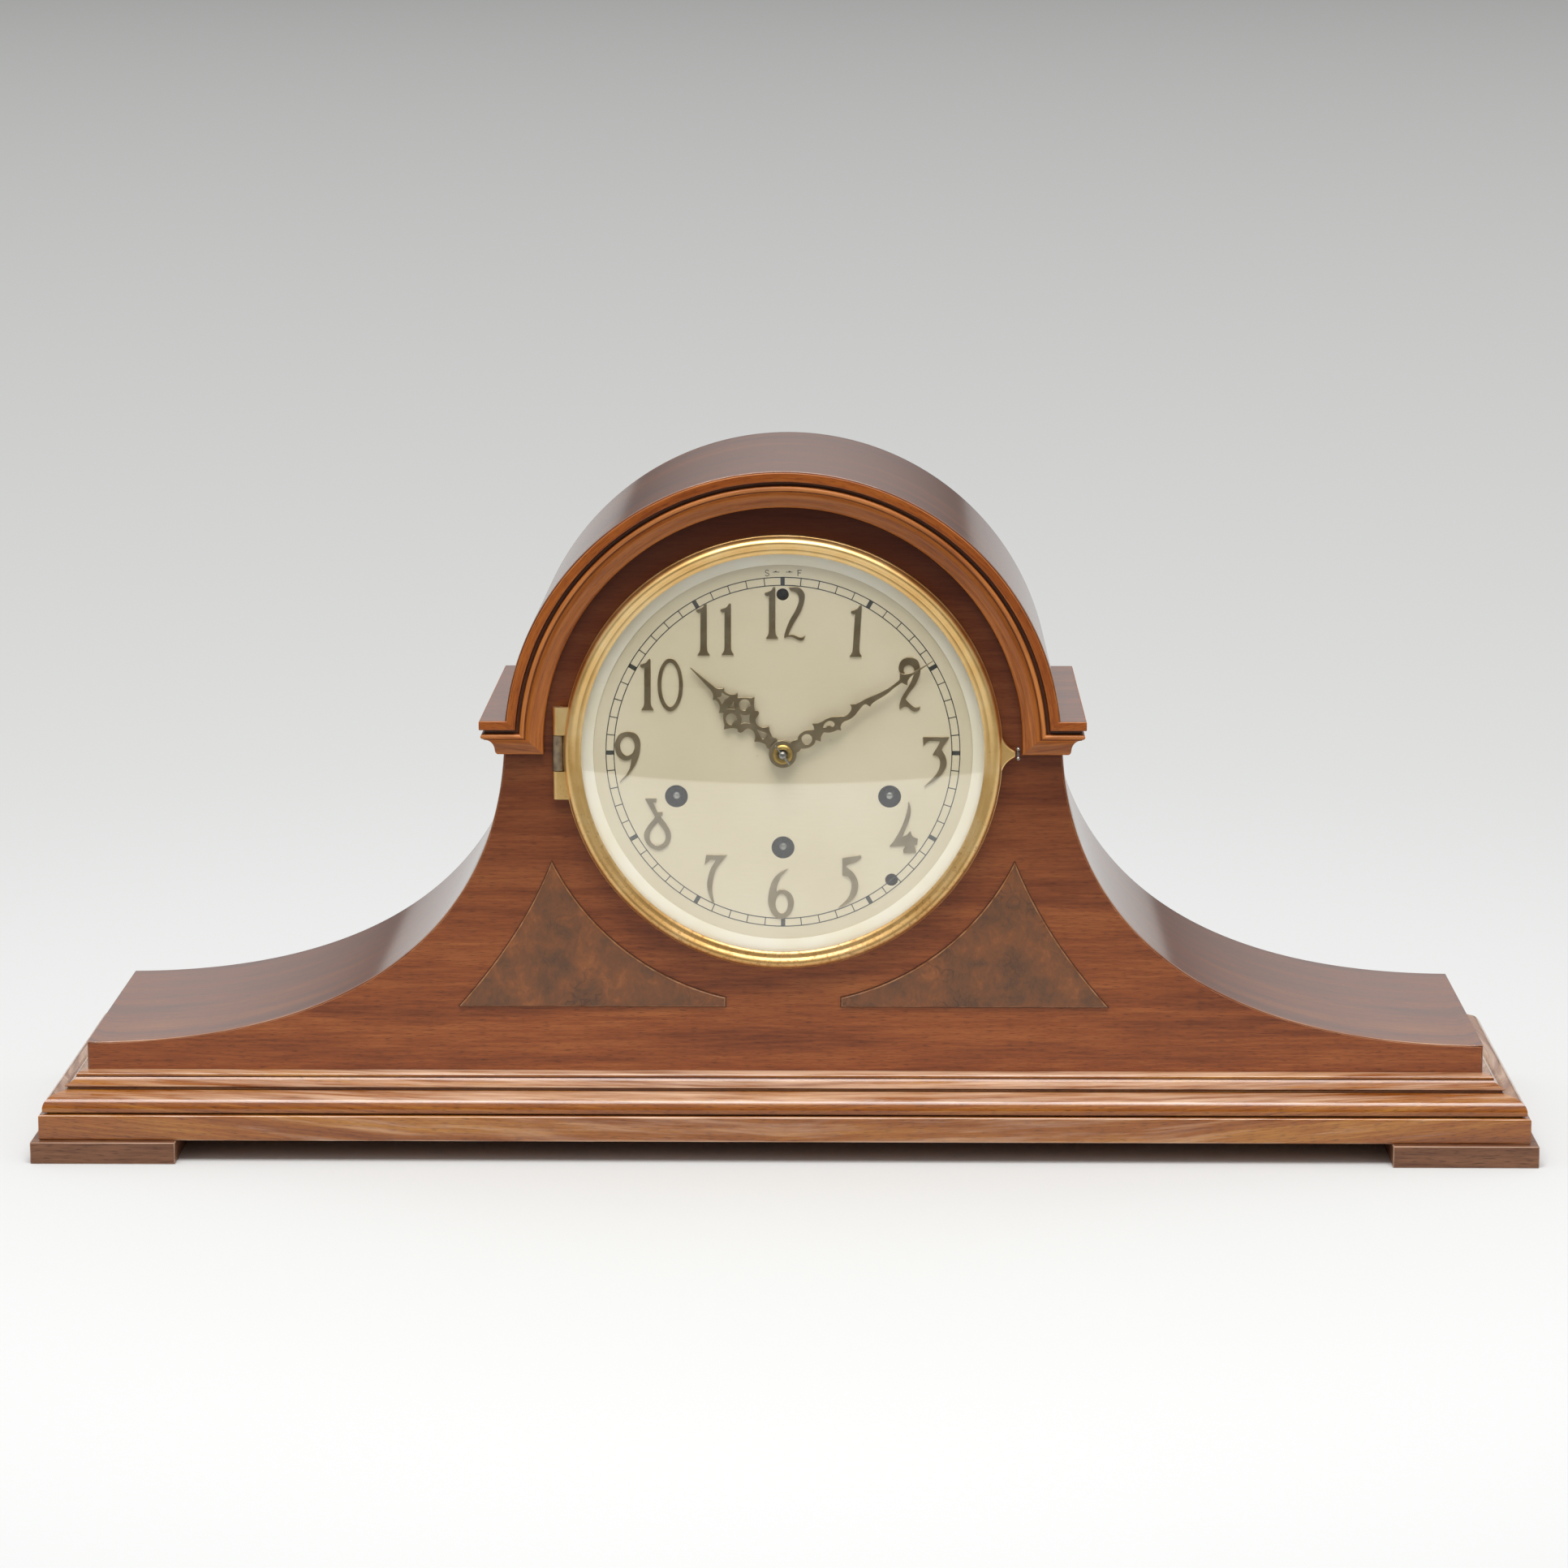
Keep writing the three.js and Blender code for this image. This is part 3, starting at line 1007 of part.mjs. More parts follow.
function centerWheel() {
  const [face, pinion] = trainWheel(0, [CENTER_TEETH, centerPitch], centerFront,
    [CENTER_PINION, centerPinionPitch], firstFront + END_PLAY);
  const tubeBack = centerFront + 2 * WHEEL;
  const tube = rod(CENTER_ARBOR + RUN + PIPE_WALL, [0, firstFront, DIAL_Z], [0, tubeBack, DIAL_Z], 12);
  const bore = rod(CENTER_ARBOR + RUN, [0, FRONT_PLATE, DIAL_Z], [0, tubeBack + INTO, DIAL_Z], 12);
  return cut(join(tube, face, pinion), bore);
}

add('center_wheel', centerWheel(), brass);
const thirdTeeth = trainWheel(THIRD_Z, [THIRD_TEETH, thirdPitch], thirdFront,
  [THIRD_PINION, thirdPinionPitch], centerFront);
add('third_wheel', join(arbor(THIRD_Z), ...thirdTeeth), brass);

// Corners of one escape tooth, in shares of the radius and of the spacing
const ESCAPE_TOOTH = [[1, 0], [0.97, 0.12], [0.82, 0.3]];

function escapeWheel() {
  const points = [];
  for (let tooth = 0; tooth < ESCAPE_TEETH; tooth++) {
    for (const [share, lead] of ESCAPE_TOOTH) {
      const radius = share * ESCAPE_RADIUS;
      const angle = (2 * Math.PI * (tooth + lead)) / ESCAPE_TEETH;
      points.push(new THREE.Vector2(radius * Math.cos(angle), DIAL_Z + ESCAPE_Z + radius * Math.sin(angle)));
    }
  }
  const face = plate(new THREE.Shape(points), escapeFront, escapeFront + WHEEL);
  const front = pinionFront(thirdFront);
  const pinion = wheel(ESCAPE_PINION, escapePinionPitch, inGap(-UP, ESCAPE_PINION), 0, ESCAPE_Z, front,
    front + PINION);
  return join(arbor(ESCAPE_Z), face, pinion);
}

add('escape_wheel', escapeWheel(), brass);

// Anchor: pallets over the escape wheel, and a crutch that takes the pendulum rod
function anchor() {
  const z = DIAL_Z + ANCHOR_Z;
  const shape = new THREE.Shape();
  const neck = 0.8 * ANCHOR_HUB;
  const half = [[0, ANCHOR_HUB], [ANCHOR_HUB, ANCHOR_HUB / 2],
    [PALLET_SPREAD + 1.6 * PALLET, ANCHOR_HUB - PALLET_DROP], [PALLET_SPREAD + PALLET, -PALLET_DROP],
    [PALLET_SPREAD, -PALLET_DROP], [PALLET_SPREAD - 0.4 * PALLET, neck - PALLET_DROP], [neck, -neck]];
  const other = half.slice(1).reverse().map(([x, up]) => [-x, up]);
  shape.setFromPoints([...half, ...other].map(([x, up]) => new THREE.Vector2(x, z + up)));
  const pallets = plate(shape, escapeFront - SEAT, escapeFront + WHEEL + SEAT);
  const staff = rod(ARBOR, [0, TRAIN_FRONT + END_PLAY, z], [0, crutchFront + WHEEL, z], 12);
  const pivot = rod(PIVOT, [0, FRONT_PLATE + SEAT, z], [0, TRAIN_FRONT + INTO, z], 12);
  const fork = z - CRUTCH_LENGTH;
  const crutchBack = crutchFront + WHEEL;
  const arm = block(-CRUTCH_HALF, CRUTCH_HALF, crutchFront, crutchBack, fork, z);
  const prongX = ROD_RADIUS + 2 * SEAT + PIVOT;
  const bridgeX = prongX + PIVOT;
  const bridge = block(-bridgeX, bridgeX, crutchFront, crutchBack, fork - CRUTCH_HALF, fork + CRUTCH_HALF);
  const prong = (x) => rod(PIVOT, [x, crutchFront + WHEEL / 2, fork], [x, PENDULUM_Y + ROD_RADIUS, fork], 8);
  return join(staff, pivot, pallets, arm, bridge, prong(-prongX), prong(prongX));
}

add('anchor', anchor(), steel);

// Pendulum: a rod on a flat suspension spring, and a brass bob
const bobZ = DIAL_Z + ANCHOR_Z - PENDULUM_LENGTH;
const BOB_SWELL = [0.6, 0.85]; // a point of the lens, in shares of its radius and half thickness

function pendulumRod() {
  const top = DIAL_Z + ANCHOR_Z - ARBOR;
  const spring = block(-SUSPENSION / 2, SUSPENSION / 2, PENDULUM_Y - SUSPENSION_HALF,
    PENDULUM_Y + SUSPENSION_HALF, top - 2 * INTO, DIAL_Z + cockBottom + COCK_HEIGHT / 2);
  return join(rod(ROD_RADIUS, [0, PENDULUM_Y, bobZ - BOB_RADIUS], [0, PENDULUM_Y, top], 12), spring);
}

function pendulumBob() {
  const edge = BOB_THICKNESS / 4;
  const half = BOB_THICKNESS / 2;
  const [swellRadius, swellHalf] = [BOB_SWELL[0] * BOB_RADIUS, BOB_SWELL[1] * half];
  const lens = turned([[0, PENDULUM_Y - half], [swellRadius, PENDULUM_Y - swellHalf],
    [BOB_RADIUS, PENDULUM_Y - edge], [BOB_RADIUS, PENDULUM_Y + edge],
    [swellRadius, PENDULUM_Y + swellHalf], [0, PENDULUM_Y + half]], 0, bobZ, 24);
  const reach = BOB_RADIUS + INTO;
  const bore = rod(ROD_RADIUS + SEAT, [0, PENDULUM_Y, bobZ - reach], [0, PENDULUM_Y, bobZ + reach], 12);
  return cut(lens, bore);
}

add('pendulum_rod', pendulumRod(), steel);
add('pendulum_bob', pendulumBob(), brass);

// Regulator: a small arbor from the dial to a cam behind the back plate
const regulatorAt = (y) => [0, y, DIAL_Z + REGULATOR_Z];

function regulatorArbor() {
  const half = REGULATOR_SQUARE / 2;
  const z = DIAL_Z + REGULATOR_Z;
  const square = block(-half, half, WIND_TIP, BOARD, z - half, z + half);
  const camBack = regulatorAt(PLATE_BACK + CAM_BACK);
  const staff = rod(ARBOR, regulatorAt(BOARD - INTO), camBack, 12);
  const cam = rod(CAM_RADIUS, regulatorAt(PLATE_BACK + END_PLAY), camBack, 16);
  return join(square, staff, cam);
}

add('regulator_arbor', regulatorArbor(), steel);

// Chime: rods fixed in an iron block on the bottom board, with hammers over them
const chimeY = (i) => CHIME_FIRST + i * CHIME_SPACING;
const chimeRodZ = DIAL_Z + CHIME_ROD_Z;
const chimeSeat = CHIME_BLOCK_X + CHIME_BLOCK_WIDTH / 2;
const chimeRod = (radius, y) => rod(radius, [CHIME_ROD_LEFT, y, chimeRodZ], [chimeSeat, y, chimeRodZ], 8);
const chimeBlock = block(CHIME_BLOCK_X, CHIME_BLOCK_X + CHIME_BLOCK_WIDTH, CHIME_FIRST - CHIME_EDGE,
  CHIME_LAST + CHIME_EDGE, bottomTop, chimeRodZ + CHIME_EDGE);
const chimePlaces = Array.from({ length: CHIME_COUNT }, (_, i) => chimeY(i));
add('chime_rod_block', cut(chimeBlock, ...chimePlaces.map((y) => chimeRod(CHIME_ROD + SEAT, y))), castIron);

function hammer(y) {
  const z = DIAL_Z + HAMMER_Z;
  const half = HAMMER_HUB / 2;
  const headX = HAMMER_X + HAMMER_ARM;
  const hub = rod(HAMMER_HUB, [HAMMER_X, y - half, z], [HAMMER_X, y + half, z]);
  const blade = HAMMER_BLADE / 2;
  const arm = block(HAMMER_X + half, headX, y - blade, y + blade, z - blade, z + blade);
  const head = rod(HAMMER_HEAD, [headX, y, z - HAMMER_HUB], [headX, y, z + HAMMER_HEAD]);
  const bore = rod(CHIME_ROD + RUN, [HAMMER_X, y - HAMMER_HUB, z], [HAMMER_X, y + HAMMER_HUB, z]);
  return cut(join(hub, arm, head), bore);
}

chimePlaces.forEach((y, i) => {
  add(`chime_rod_${i + 1}`, chimeRod(CHIME_ROD, y), steel);
  add(`hammer_${i + 1}`, hammer(y), brass);
});

export default clock;
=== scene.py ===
import math

import bmesh
import bpy
from mathutils import Matrix, Vector
from mathutils.geometry import tessellate_polygon


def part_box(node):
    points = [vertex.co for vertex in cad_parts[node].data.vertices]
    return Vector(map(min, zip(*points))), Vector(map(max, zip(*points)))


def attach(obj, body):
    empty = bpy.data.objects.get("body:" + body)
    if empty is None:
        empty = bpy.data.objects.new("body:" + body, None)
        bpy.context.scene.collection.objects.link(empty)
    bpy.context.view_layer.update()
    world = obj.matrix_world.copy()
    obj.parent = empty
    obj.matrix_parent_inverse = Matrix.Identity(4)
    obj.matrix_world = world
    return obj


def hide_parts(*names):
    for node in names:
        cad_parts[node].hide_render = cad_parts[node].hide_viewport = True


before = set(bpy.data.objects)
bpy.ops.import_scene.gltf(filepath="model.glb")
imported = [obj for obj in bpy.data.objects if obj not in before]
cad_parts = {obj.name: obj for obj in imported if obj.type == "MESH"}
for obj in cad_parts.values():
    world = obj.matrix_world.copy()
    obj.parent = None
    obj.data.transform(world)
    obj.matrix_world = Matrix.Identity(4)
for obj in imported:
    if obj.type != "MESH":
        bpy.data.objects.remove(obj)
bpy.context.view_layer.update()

# Base frame
# Four lengths of solid walnut, run over a moulding cutter and mitred at the corners.
# Stained lighter than the case, lacquered, and rubbed pale along every edge, part of that pale being painted
# highlight.
MM = 0.001
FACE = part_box("front_board")[0].y  # face of the front board, from which depths are counted
SHARP = math.radians(35)  # a steeper fold shows as an edge


def limits(node):
    """The corners of a CAD node's box in millimetres, with depths from the front board."""
    return [Vector((corner.x, corner.y - FACE, corner.z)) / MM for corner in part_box(node)]


WING = limits("front_board")[1].x  # wing tip from the middle
DEPTH = limits("back_board")[1].y
BASE_FOOT, BASE_TOP = (corner.z for corner in limits("base_moulding"))


def linear(code):
    """A colour in linear light from its sRGB hex code."""
    parts = [int(code[i : i + 2], 16) / 255 for i in (1, 3, 5)]
    return (*(c / 12.92 if c < 0.04045 else ((c + 0.055) / 1.055) ** 2.4 for c in parts), 1.0)


def add(tree, kind, links=None, stops=(), out=0, **settings):
    """Adds a node and gives one of its outputs; links holds sockets to join and values to set, and
    stops holds the places and hex codes of a colour ramp."""
    made = tree.nodes.new("ShaderNode" + kind)
    for name, value in settings.items():
        setattr(made, name, value)
    for place, _ in stops[2:]:
        made.color_ramp.elements.new(place)
    for element, (place, code) in zip(made.color_ramp.elements if stops else (), stops):
        element.position = place
        element.color = linear(code)
    for socket, value in (links or {}).items():
        if isinstance(value, bpy.types.NodeSocket):
            tree.links.new(value, made.inputs[socket])
        else:
            made.inputs[socket].default_value = value
    return made.outputs[out] if made.outputs else made


def finish(name):
    """An empty node material and its tree."""
    made = bpy.data.materials.new(name)
    made.use_nodes = True
    made.node_tree.nodes.clear()
    return made, made.node_tree


def lacquered_wood(name, stops, bare, figure, pore, gloss, coat, toned_and_shaded=None):
    """Stained wood under lacquer. figure and pore are lengths along and across the grain in
    millimetres. The grain attribute runs along the board. The edge mark is 1 on edges scuffed pale,
    some of that pale being painted highlight, and -1 in inside corners painted with shade. The
    toning pair gives two heights between which the stain deepens, as stain and painted shade."""
    made, tree = finish(name)
    grain = add(tree, "Attribute", out="Vector", attribute_name="grain")
    wide = add(tree, "Mapping", {"Vector": grain, "Scale": (1 / figure[0], 1 / figure[1], 1 / figure[1])})
    bands = add(tree, "TexNoise", {"Vector": wide, "Scale": 1, "Detail": 5, "Distortion": 0.6})
    fine = add(tree, "Mapping", {"Vector": grain, "Scale": (6 / figure[0], 8 / figure[1], 8 / figure[1])})
    streaks = add(tree, "TexNoise", {"Vector": fine, "Scale": 1, "Detail": 3})
    tone = add(tree, "Mix", {0: 0.4, 2: bands, 3: streaks}, data_type="FLOAT")
    stain = add(tree, "ValToRGB", {"Fac": tone}, stops=stops)
    short = add(tree, "Mapping", {"Vector": grain, "Scale": (1 / pore[0], 1 / pore[1], 1 / pore[1])})
    dashes = add(tree, "TexNoise", {"Vector": short, "Scale": 1, "Detail": 1.5})
    pores = add(tree, "MapRange", {"Value": dashes, "From Min": 0.54, "From Max": 0.74, "To Max": 0.62})
    pored = add(tree, "Mix", {0: pores, 6: stain, 7: linear("#301307")}, out=2, data_type="RGBA")
    # The stain deepens towards the top: partly a toning stain, partly painted shade under the arch moulding
    if toned_and_shaded:
        height = add(tree, "SeparateXYZ", {0: grain}, out="Y")
        tone_and_shade_top = add(tree, "MapRange", {"Value": height, "From Min": toned_and_shaded[0], "From Max": toned_and_shaded[1],
                                      "To Max": 0.86})
        pored = add(tree, "Mix", {0: tone_and_shade_top, 6: pored, 7: linear("#3c1507")}, out=2, data_type="RGBA")
    # Pale bare wood on scuffed edges; on the base and arch mouldings part of that pale is painted highlight
    # and reflection
    edge_amount = add(tree, "Attribute", out="Fac", attribute_name="wear_and_painted_light")
    patchy = add(tree, "Mapping", {"Vector": grain, "Scale": (1 / 50, 1 / 3, 1 / 3)})
    flecks = add(tree, "TexNoise", {"Vector": patchy, "Scale": 1, "Detail": 4, "Roughness": 0.6})
    chance = add(tree, "Math", {0: edge_amount, 1: flecks}, operation="MULTIPLY")
    worn_and_lit = add(tree, "MapRange", {"Value": chance, "From Min": 0.26, "From Max": 0.58, "To Max": 0.85})
    bared = add(tree, "Mix", {0: worn_and_lit, 6: pored, 7: linear(bare)}, out=2, data_type="RGBA")
    # Painted shade: inside corners and grooves darkened to near black
    corner = add(tree, "MapRange", {"Value": edge_amount, "From Max": -1, "To Max": 0.85})
    colour = add(tree, "Mix", {0: corner, 6: bared, 7: linear("#210d05")}, out=2, data_type="RGBA")
    shine = add(tree, "MapRange", {"Value": tone, "To Min": gloss - 0.08, "To Max": gloss + 0.1})
    relief = add(tree, "Math", {0: streaks, 1: pores}, operation="SUBTRACT")
    bump = add(tree, "Bump", {"Height": relief, "Strength": 0.06, "Distance": 0.05 * MM})
    shader = add(tree, "BsdfPrincipled", {"Base Color": colour, "Roughness": shine, "Normal": bump,
                                          "Specular IOR Level": 0.4, "Coat Weight": coat,
                                          "Coat Roughness": 0.08})
    add(tree, "OutputMaterial", {"Surface": shader})
    return made


# Walnut with long pale streaks and short open pores, under a rubbed glossy lacquer
WALNUT_STOPS = [(0.32, "#74370c"), (0.5, "#99571b"), (0.68, "#ba7e34")]
walnut = lacquered_wood("lacquered_walnut", WALNUT_STOPS, "#e8c3a4", (150, 8), (4, 0.35), 0.22, 0.65)


def facing_out(form):
    """Turns a closed form's faces outwards."""
    points = [Vector(p) for p in form["points"]]
    volume = 0.0
    for face in form["faces"]:
        for i in range(1, len(face) - 1):
            volume += points[face[0]].dot(points[face[i]].cross(points[face[i + 1]]))
    if volume < 0:
        form["faces"] = [tuple(reversed(face)) for face in form["faces"]]
    return form


def blank():
    """A form with nothing in it yet."""
    return {part: [] for part in ("points", "faces", "wear_and_painted_light", "grain")}


def joined(*forms):
    """Several forms as one."""
    whole = blank()
    for form in forms:
        start = len(whole["points"])
        whole["faces"] += [tuple(start + k for k in face) for face in form["faces"]]
        for part in ("points", "wear_and_painted_light", "grain"):
            whole[part] += form[part]
    return whole


def loft(rings, closed=False):
    """A skin over rings of x, y, z and an edge mark for scuffs, painted highlight and painted shade, with
    flat ends unless it closes on itself.
    """
    count = len(rings[0])
    form = blank()
    along = 0.0
    for i, ring in enumerate(rings):
        if i:
            along += max(math.dist(ring[k][:3], rings[i - 1][k][:3]) for k in range(0, count, 2))
        across = 0.0
        for k, point in enumerate(ring):
            across += math.dist(ring[k - 1][:3], point[:3]) if k else 0.0
            form["points"].append(point[:3])
            form["wear_and_painted_light"].append(point[3] if len(point) > 3 else 0.0)
            form["grain"].append((along, across, 0.0))
    for i in range(len(rings) if closed else len(rings) - 1):
        for k in range(count):
            after = (i + 1) % len(rings)
            beside = (k + 1) % count
            corners = [i * count + k, i * count + beside, after * count + beside, after * count + k]
            kept = [c for n, c in enumerate(corners) if form["points"][c] != form["points"][corners[n - 1]]]
            if len(kept) > 2:
                form["faces"].append(tuple(kept))
    for i in () if closed else (0, len(rings) - 1):
        start = len(form["points"])
        for part in ("points", "wear_and_painted_light", "grain"):
            form[part] += form[part][i * count : (i + 1) * count]
        end = range(start, start + count)
        form["faces"].append(tuple(end if i else reversed(end)))
    return facing_out(form)


def eased(corners, radius, steps=4):
    """A closed section with its sharp corners rounded, as points with their edge mark: 1 on outside corners
    and -1 on inside corners, for painted shade.
    """
    section = []
    area = sum(a[0] * b[1] - a[1] * b[0] for a, b in zip(corners, corners[1:] + corners[:1]))
    for n, corner in enumerate(corners):
        here = Vector(corner)
        back = Vector(corners[n - 1]) - here
        on = Vector(corners[(n + 1) % len(corners)]) - here
        turn = math.pi - back.angle(on)
        if turn < math.radians(30):
            section.append((*corner, 0.0))
            continue
        outside = (back.x * on.y - back.y * on.x) * area < 0
        start = here + back.normalized() * min(radius, 0.45 * back.length)
        end = here + on.normalized() * min(radius, 0.45 * on.length)
        for i in range(steps + 1):
            share = i / steps
            point = start.lerp(here, share).lerp(here.lerp(end, share), share)
            # inside corners take -1, painted shade
            section.append((*point, math.sin(math.pi * share) * (1 if outside else -1)))
    return section


def arc(center, wide, high, start, end, steps):
    """Points on part of an ellipse; the angles are in degrees."""
    angles = [math.radians(start + (end - start) * i / steps) for i in range(steps + 1)]
    return [(center[0] + wide * math.cos(a), center[1] + high * math.sin(a)) for a in angles]


def piece(name, form, material):
    """One mesh object from a form in millimetres."""
    mesh = bpy.data.meshes.new(name)
    mesh.from_pydata([(x * MM, FACE + y * MM, z * MM) for x, y, z in form["points"]], [], form["faces"])
    grain = mesh.attributes.new("grain", "FLOAT_VECTOR", "POINT")
    grain.data.foreach_set("vector", [c for point in form["grain"] for c in point])
    mesh.attributes.new("wear_and_painted_light", "FLOAT", "POINT").data.foreach_set("value", form["wear_and_painted_light"])
    mesh.shade_smooth()
    mesh.set_sharp_from_angle(angle=SHARP)
    mesh.materials.append(material)
    made = bpy.data.objects.new(name, mesh)
    bpy.context.scene.collection.objects.link(made)
    made.modifiers.new("flats_stay_flat", "WEIGHTED_NORMAL").keep_sharp = True
    return made


FRAME_INSIDE = -30.0  # all sections here are counted out from the faces of the case
CAP_OUT = 3.7
CAP_SLOPE = 0.8  # the ledge under the front board falls this much
LIP_OUT = 7.6
LIP_TOP = BASE_TOP - 4.45
LIP_Z = BASE_TOP - 5.15
NOSE = 5.0
NOSE_CENTER = (10.3, BASE_TOP - 12.25)
PLINTH_OUT = 16.6
PLINTH_TOP = 18.2
REAR_SHARE = 0.3  # the base stands out less behind
BASE_EASE = 0.9

cap = [(FRAME_INSIDE, BASE_FOOT), (FRAME_INSIDE, BASE_TOP), (0.5, BASE_TOP), (CAP_OUT, BASE_TOP - CAP_SLOPE),
       (CAP_OUT + 0.1, BASE_TOP - 2.2)]
cove = arc((8.94, BASE_TOP + 1.97), 6.6, 6.6, 220.3, 256.5, 6)
lip = [(LIP_OUT, LIP_TOP), (LIP_OUT, LIP_Z), (LIP_OUT - 0.9, LIP_Z - 0.2), (LIP_OUT - 0.9, LIP_Z - 1.15)]
ovolo = [(LIP_OUT + 0.2, BASE_TOP - 6.4)] + arc(NOSE_CENTER, NOSE, NOSE, 75, -14, 16)
plinth = [(13.7, PLINTH_TOP + 0.6), (13.7, PLINTH_TOP), (PLINTH_OUT, PLINTH_TOP), (PLINTH_OUT, BASE_FOOT)]
base_section = []
for out, z, wear_and_painted_light in eased(cap + cove + lip + ovolo + plinth, BASE_EASE):
    if out > 0.4 and z > BASE_TOP - CAP_SLOPE - 0.3:
        wear_and_painted_light = 1.0  # ledge under the front board: scuffed, and painted highlight
    elif CAP_OUT + 0.3 < out < LIP_OUT - 0.2 and LIP_TOP - 0.1 < z < BASE_TOP - 2:
        wear_and_painted_light = 0.8  # cove: scuffed, and painted reflection of the light above
    elif out > LIP_OUT - 0.2 and LIP_Z - 0.1 < z < LIP_TOP + 0.1:
        wear_and_painted_light = 0.95  # front of the lip: scuffed, and painted highlight
    elif out > LIP_OUT + 0.1 and NOSE_CENTER[1] + NOSE * 0.6 < z < LIP_Z:
        wear_and_painted_light = 0.85  # top of the nose: scuffed, and painted reflection of the sky
    elif out > PLINTH_OUT - 0.05 and z < PLINTH_TOP:
        wear_and_painted_light = 0.56  # face of the plinth: painted reflection of the floor, strongest in the middle
    base_section.append((out, z, wear_and_painted_light))


def base_corner(side, behind):
    """The base section at one miter."""
    ring = []
    for out, z, wear_and_painted_light in base_section:
        rear = DEPTH + out * (REAR_SHARE if out > 0 else 1)
        ring.append((side * (WING + out), rear if behind else -out, z, wear_and_painted_light))
    return ring


miters = [base_corner(-1, False), base_corner(1, False), base_corner(1, True), base_corner(-1, True)]
MIDDLE_HIGHLIGHT = (0.72, 0.95, 1.05, 0.95, 0.72)  # painted highlight: pale edges strongest in the middle of each length, fading towards the miters


def length(start, end):
    """One length of the base between two miters."""
    rings = []
    for n, edge_amount in enumerate(MIDDLE_HIGHLIGHT):
        share = n / (len(MIDDLE_HIGHLIGHT) - 1)
        ring = []
        for (*a, wear_and_painted_light), (*b, _) in zip(start, end):
            ring.append((*Vector(a).lerp(Vector(b), share), wear_and_painted_light * edge_amount if wear_and_painted_light > 0 else wear_and_painted_light))
        rings.append(ring)
    return loft(rings)


runs = [length(miters[i - 1], miters[i]) for i in range(4)]
for run in runs:
    run["faces"] = run["faces"][:-2]  # the runs meet at their miters, with no ends between them
base = piece("base_frame", joined(*runs), walnut)
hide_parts("base_moulding")
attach(base, "case")

# Feet
# Four flat blocks of the same walnut, glued under the corners of the base.
# Their lower edges are bruised and their tops catch the light in a thin line.
FOOT_EASE = 0.6


def block(low, high, ease):
    """A squared block with every edge eased."""
    shape = bmesh.new()
    bmesh.ops.create_cube(shape, size=1.0)
    size = [b - a for a, b in zip(low, high)]
    bmesh.ops.scale(shape, vec=size, verts=shape.verts)
    bmesh.ops.bevel(shape, geom=shape.edges[:], offset=ease, segments=3, profile=0.5, affect="EDGES")
    middle = [(a + b) / 2 for a, b in zip(low, high)]
    half = [s / 2 - 1e-4 for s in size]
    form = blank()
    for vertex in shape.verts:
        x, y, z = (m + c for m, c in zip(middle, vertex.co))
        form["points"].append((x, y, z))
        form["grain"].append((x, z, y))
        form["wear_and_painted_light"].append(0.0 if any(abs(c) > h for c, h in zip(vertex.co, half)) else 1.0)
    form["faces"] = [tuple(v.index for v in face.verts) for face in shape.faces]
    shape.free()
    return form


def cad_block(node, ease):
    """A block in the place of a CAD node."""
    return block(*limits(node), ease)


# Walnut end blocks, stained darker, with the lacquer gone dull from dusting
FOOT_STOPS = [(0.34, "#653e28"), (0.5, "#7c5238"), (0.68, "#936646")]
foot_walnut = lacquered_wood("dull_walnut", FOOT_STOPS, "#b8957c", (90, 8), (5, 0.5), 0.42, 0.15)
for node in ("foot_front_left", "foot_front_right", "foot_rear_left", "foot_rear_right"):
    foot = piece(node + "_block", cad_block(node, FOOT_EASE), foot_walnut)
    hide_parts(node)
    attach(foot, "case")

# Bottom board
# A plain poplar board let into the base frame from below, left unpolished.
# It carries the block of the chime rods.
# Bare poplar, darker than its own colour as painted shade in the gap under the base: dull grey brown with
# soft wide streaks and no shine
SHADED_POPLAR_STOPS = [(0.32, "#4a3622"), (0.5, "#5e472f"), (0.68, "#70563a")]
shaded_poplar = lacquered_wood("poplar_darkened_as_shade", SHADED_POPLAR_STOPS, "#b3936c", (140, 10), (6, 0.5), 0.7, 0.0)
BOTTOM_EASE = 0.4
bottom = piece("bottom_panel", cad_block("bottom_board", BOTTOM_EASE), shaded_poplar)
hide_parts("bottom_board")
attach(bottom, "case")

# Front board
# One board sawn to the whole outline of the case and faced with mahogany veneer, its grain
# level. The edge of the sweeps is rubbed through to the pale wood in a broken line.
BOARD = limits("front_board")[1].y
(_, DIAL_FRONT, DIAL_FOOT), (DIAL_RADIUS, _, DIAL_HEAD) = limits("dial")
DIAL_Z = (DIAL_FOOT + DIAL_HEAD) / 2
DIAL_LAP = 9.2  # the dial covers the edge of its opening
DIAL_OPENING = DIAL_RADIUS - DIAL_LAP
IMPOST_BOTTOM, IMPOST_TOP = (corner.z for corner in limits("impost_right"))
ARCH_LIFT = 2.8  # center of the arch above that of the dial
ARCH_Z = DIAL_Z + ARCH_LIFT
ARCH_RADIUS = limits("arch_moulding")[1].z - ARCH_Z
NECK_OUT = 0.7
NECK = ARCH_RADIUS + NECK_OUT
TIP_HEIGHT = 10.5
TIP_TOP = limits("wing_top_right")[0].z + TIP_HEIGHT
SWEEP = [(NECK, IMPOST_BOTTOM), (NECK + 3, IMPOST_BOTTOM - 61.2), (WING - 112.9, TIP_TOP + 0.7),
         (WING, TIP_TOP)]
BOARD_EASE = 0.18
VENEER = 0.6  # the veneer of the tops runs forward over the edge of the board
SHELF = IMPOST_TOP - VENEER
SHOULDER_DROP = 0.3  # the boards stop under the cores of the imposts
HINGE_POCKET = [(-86.6, -6.9), (-72.0, -6.9), (-72.0, 6.9), (-86.6, 6.9)]  # from the dial center
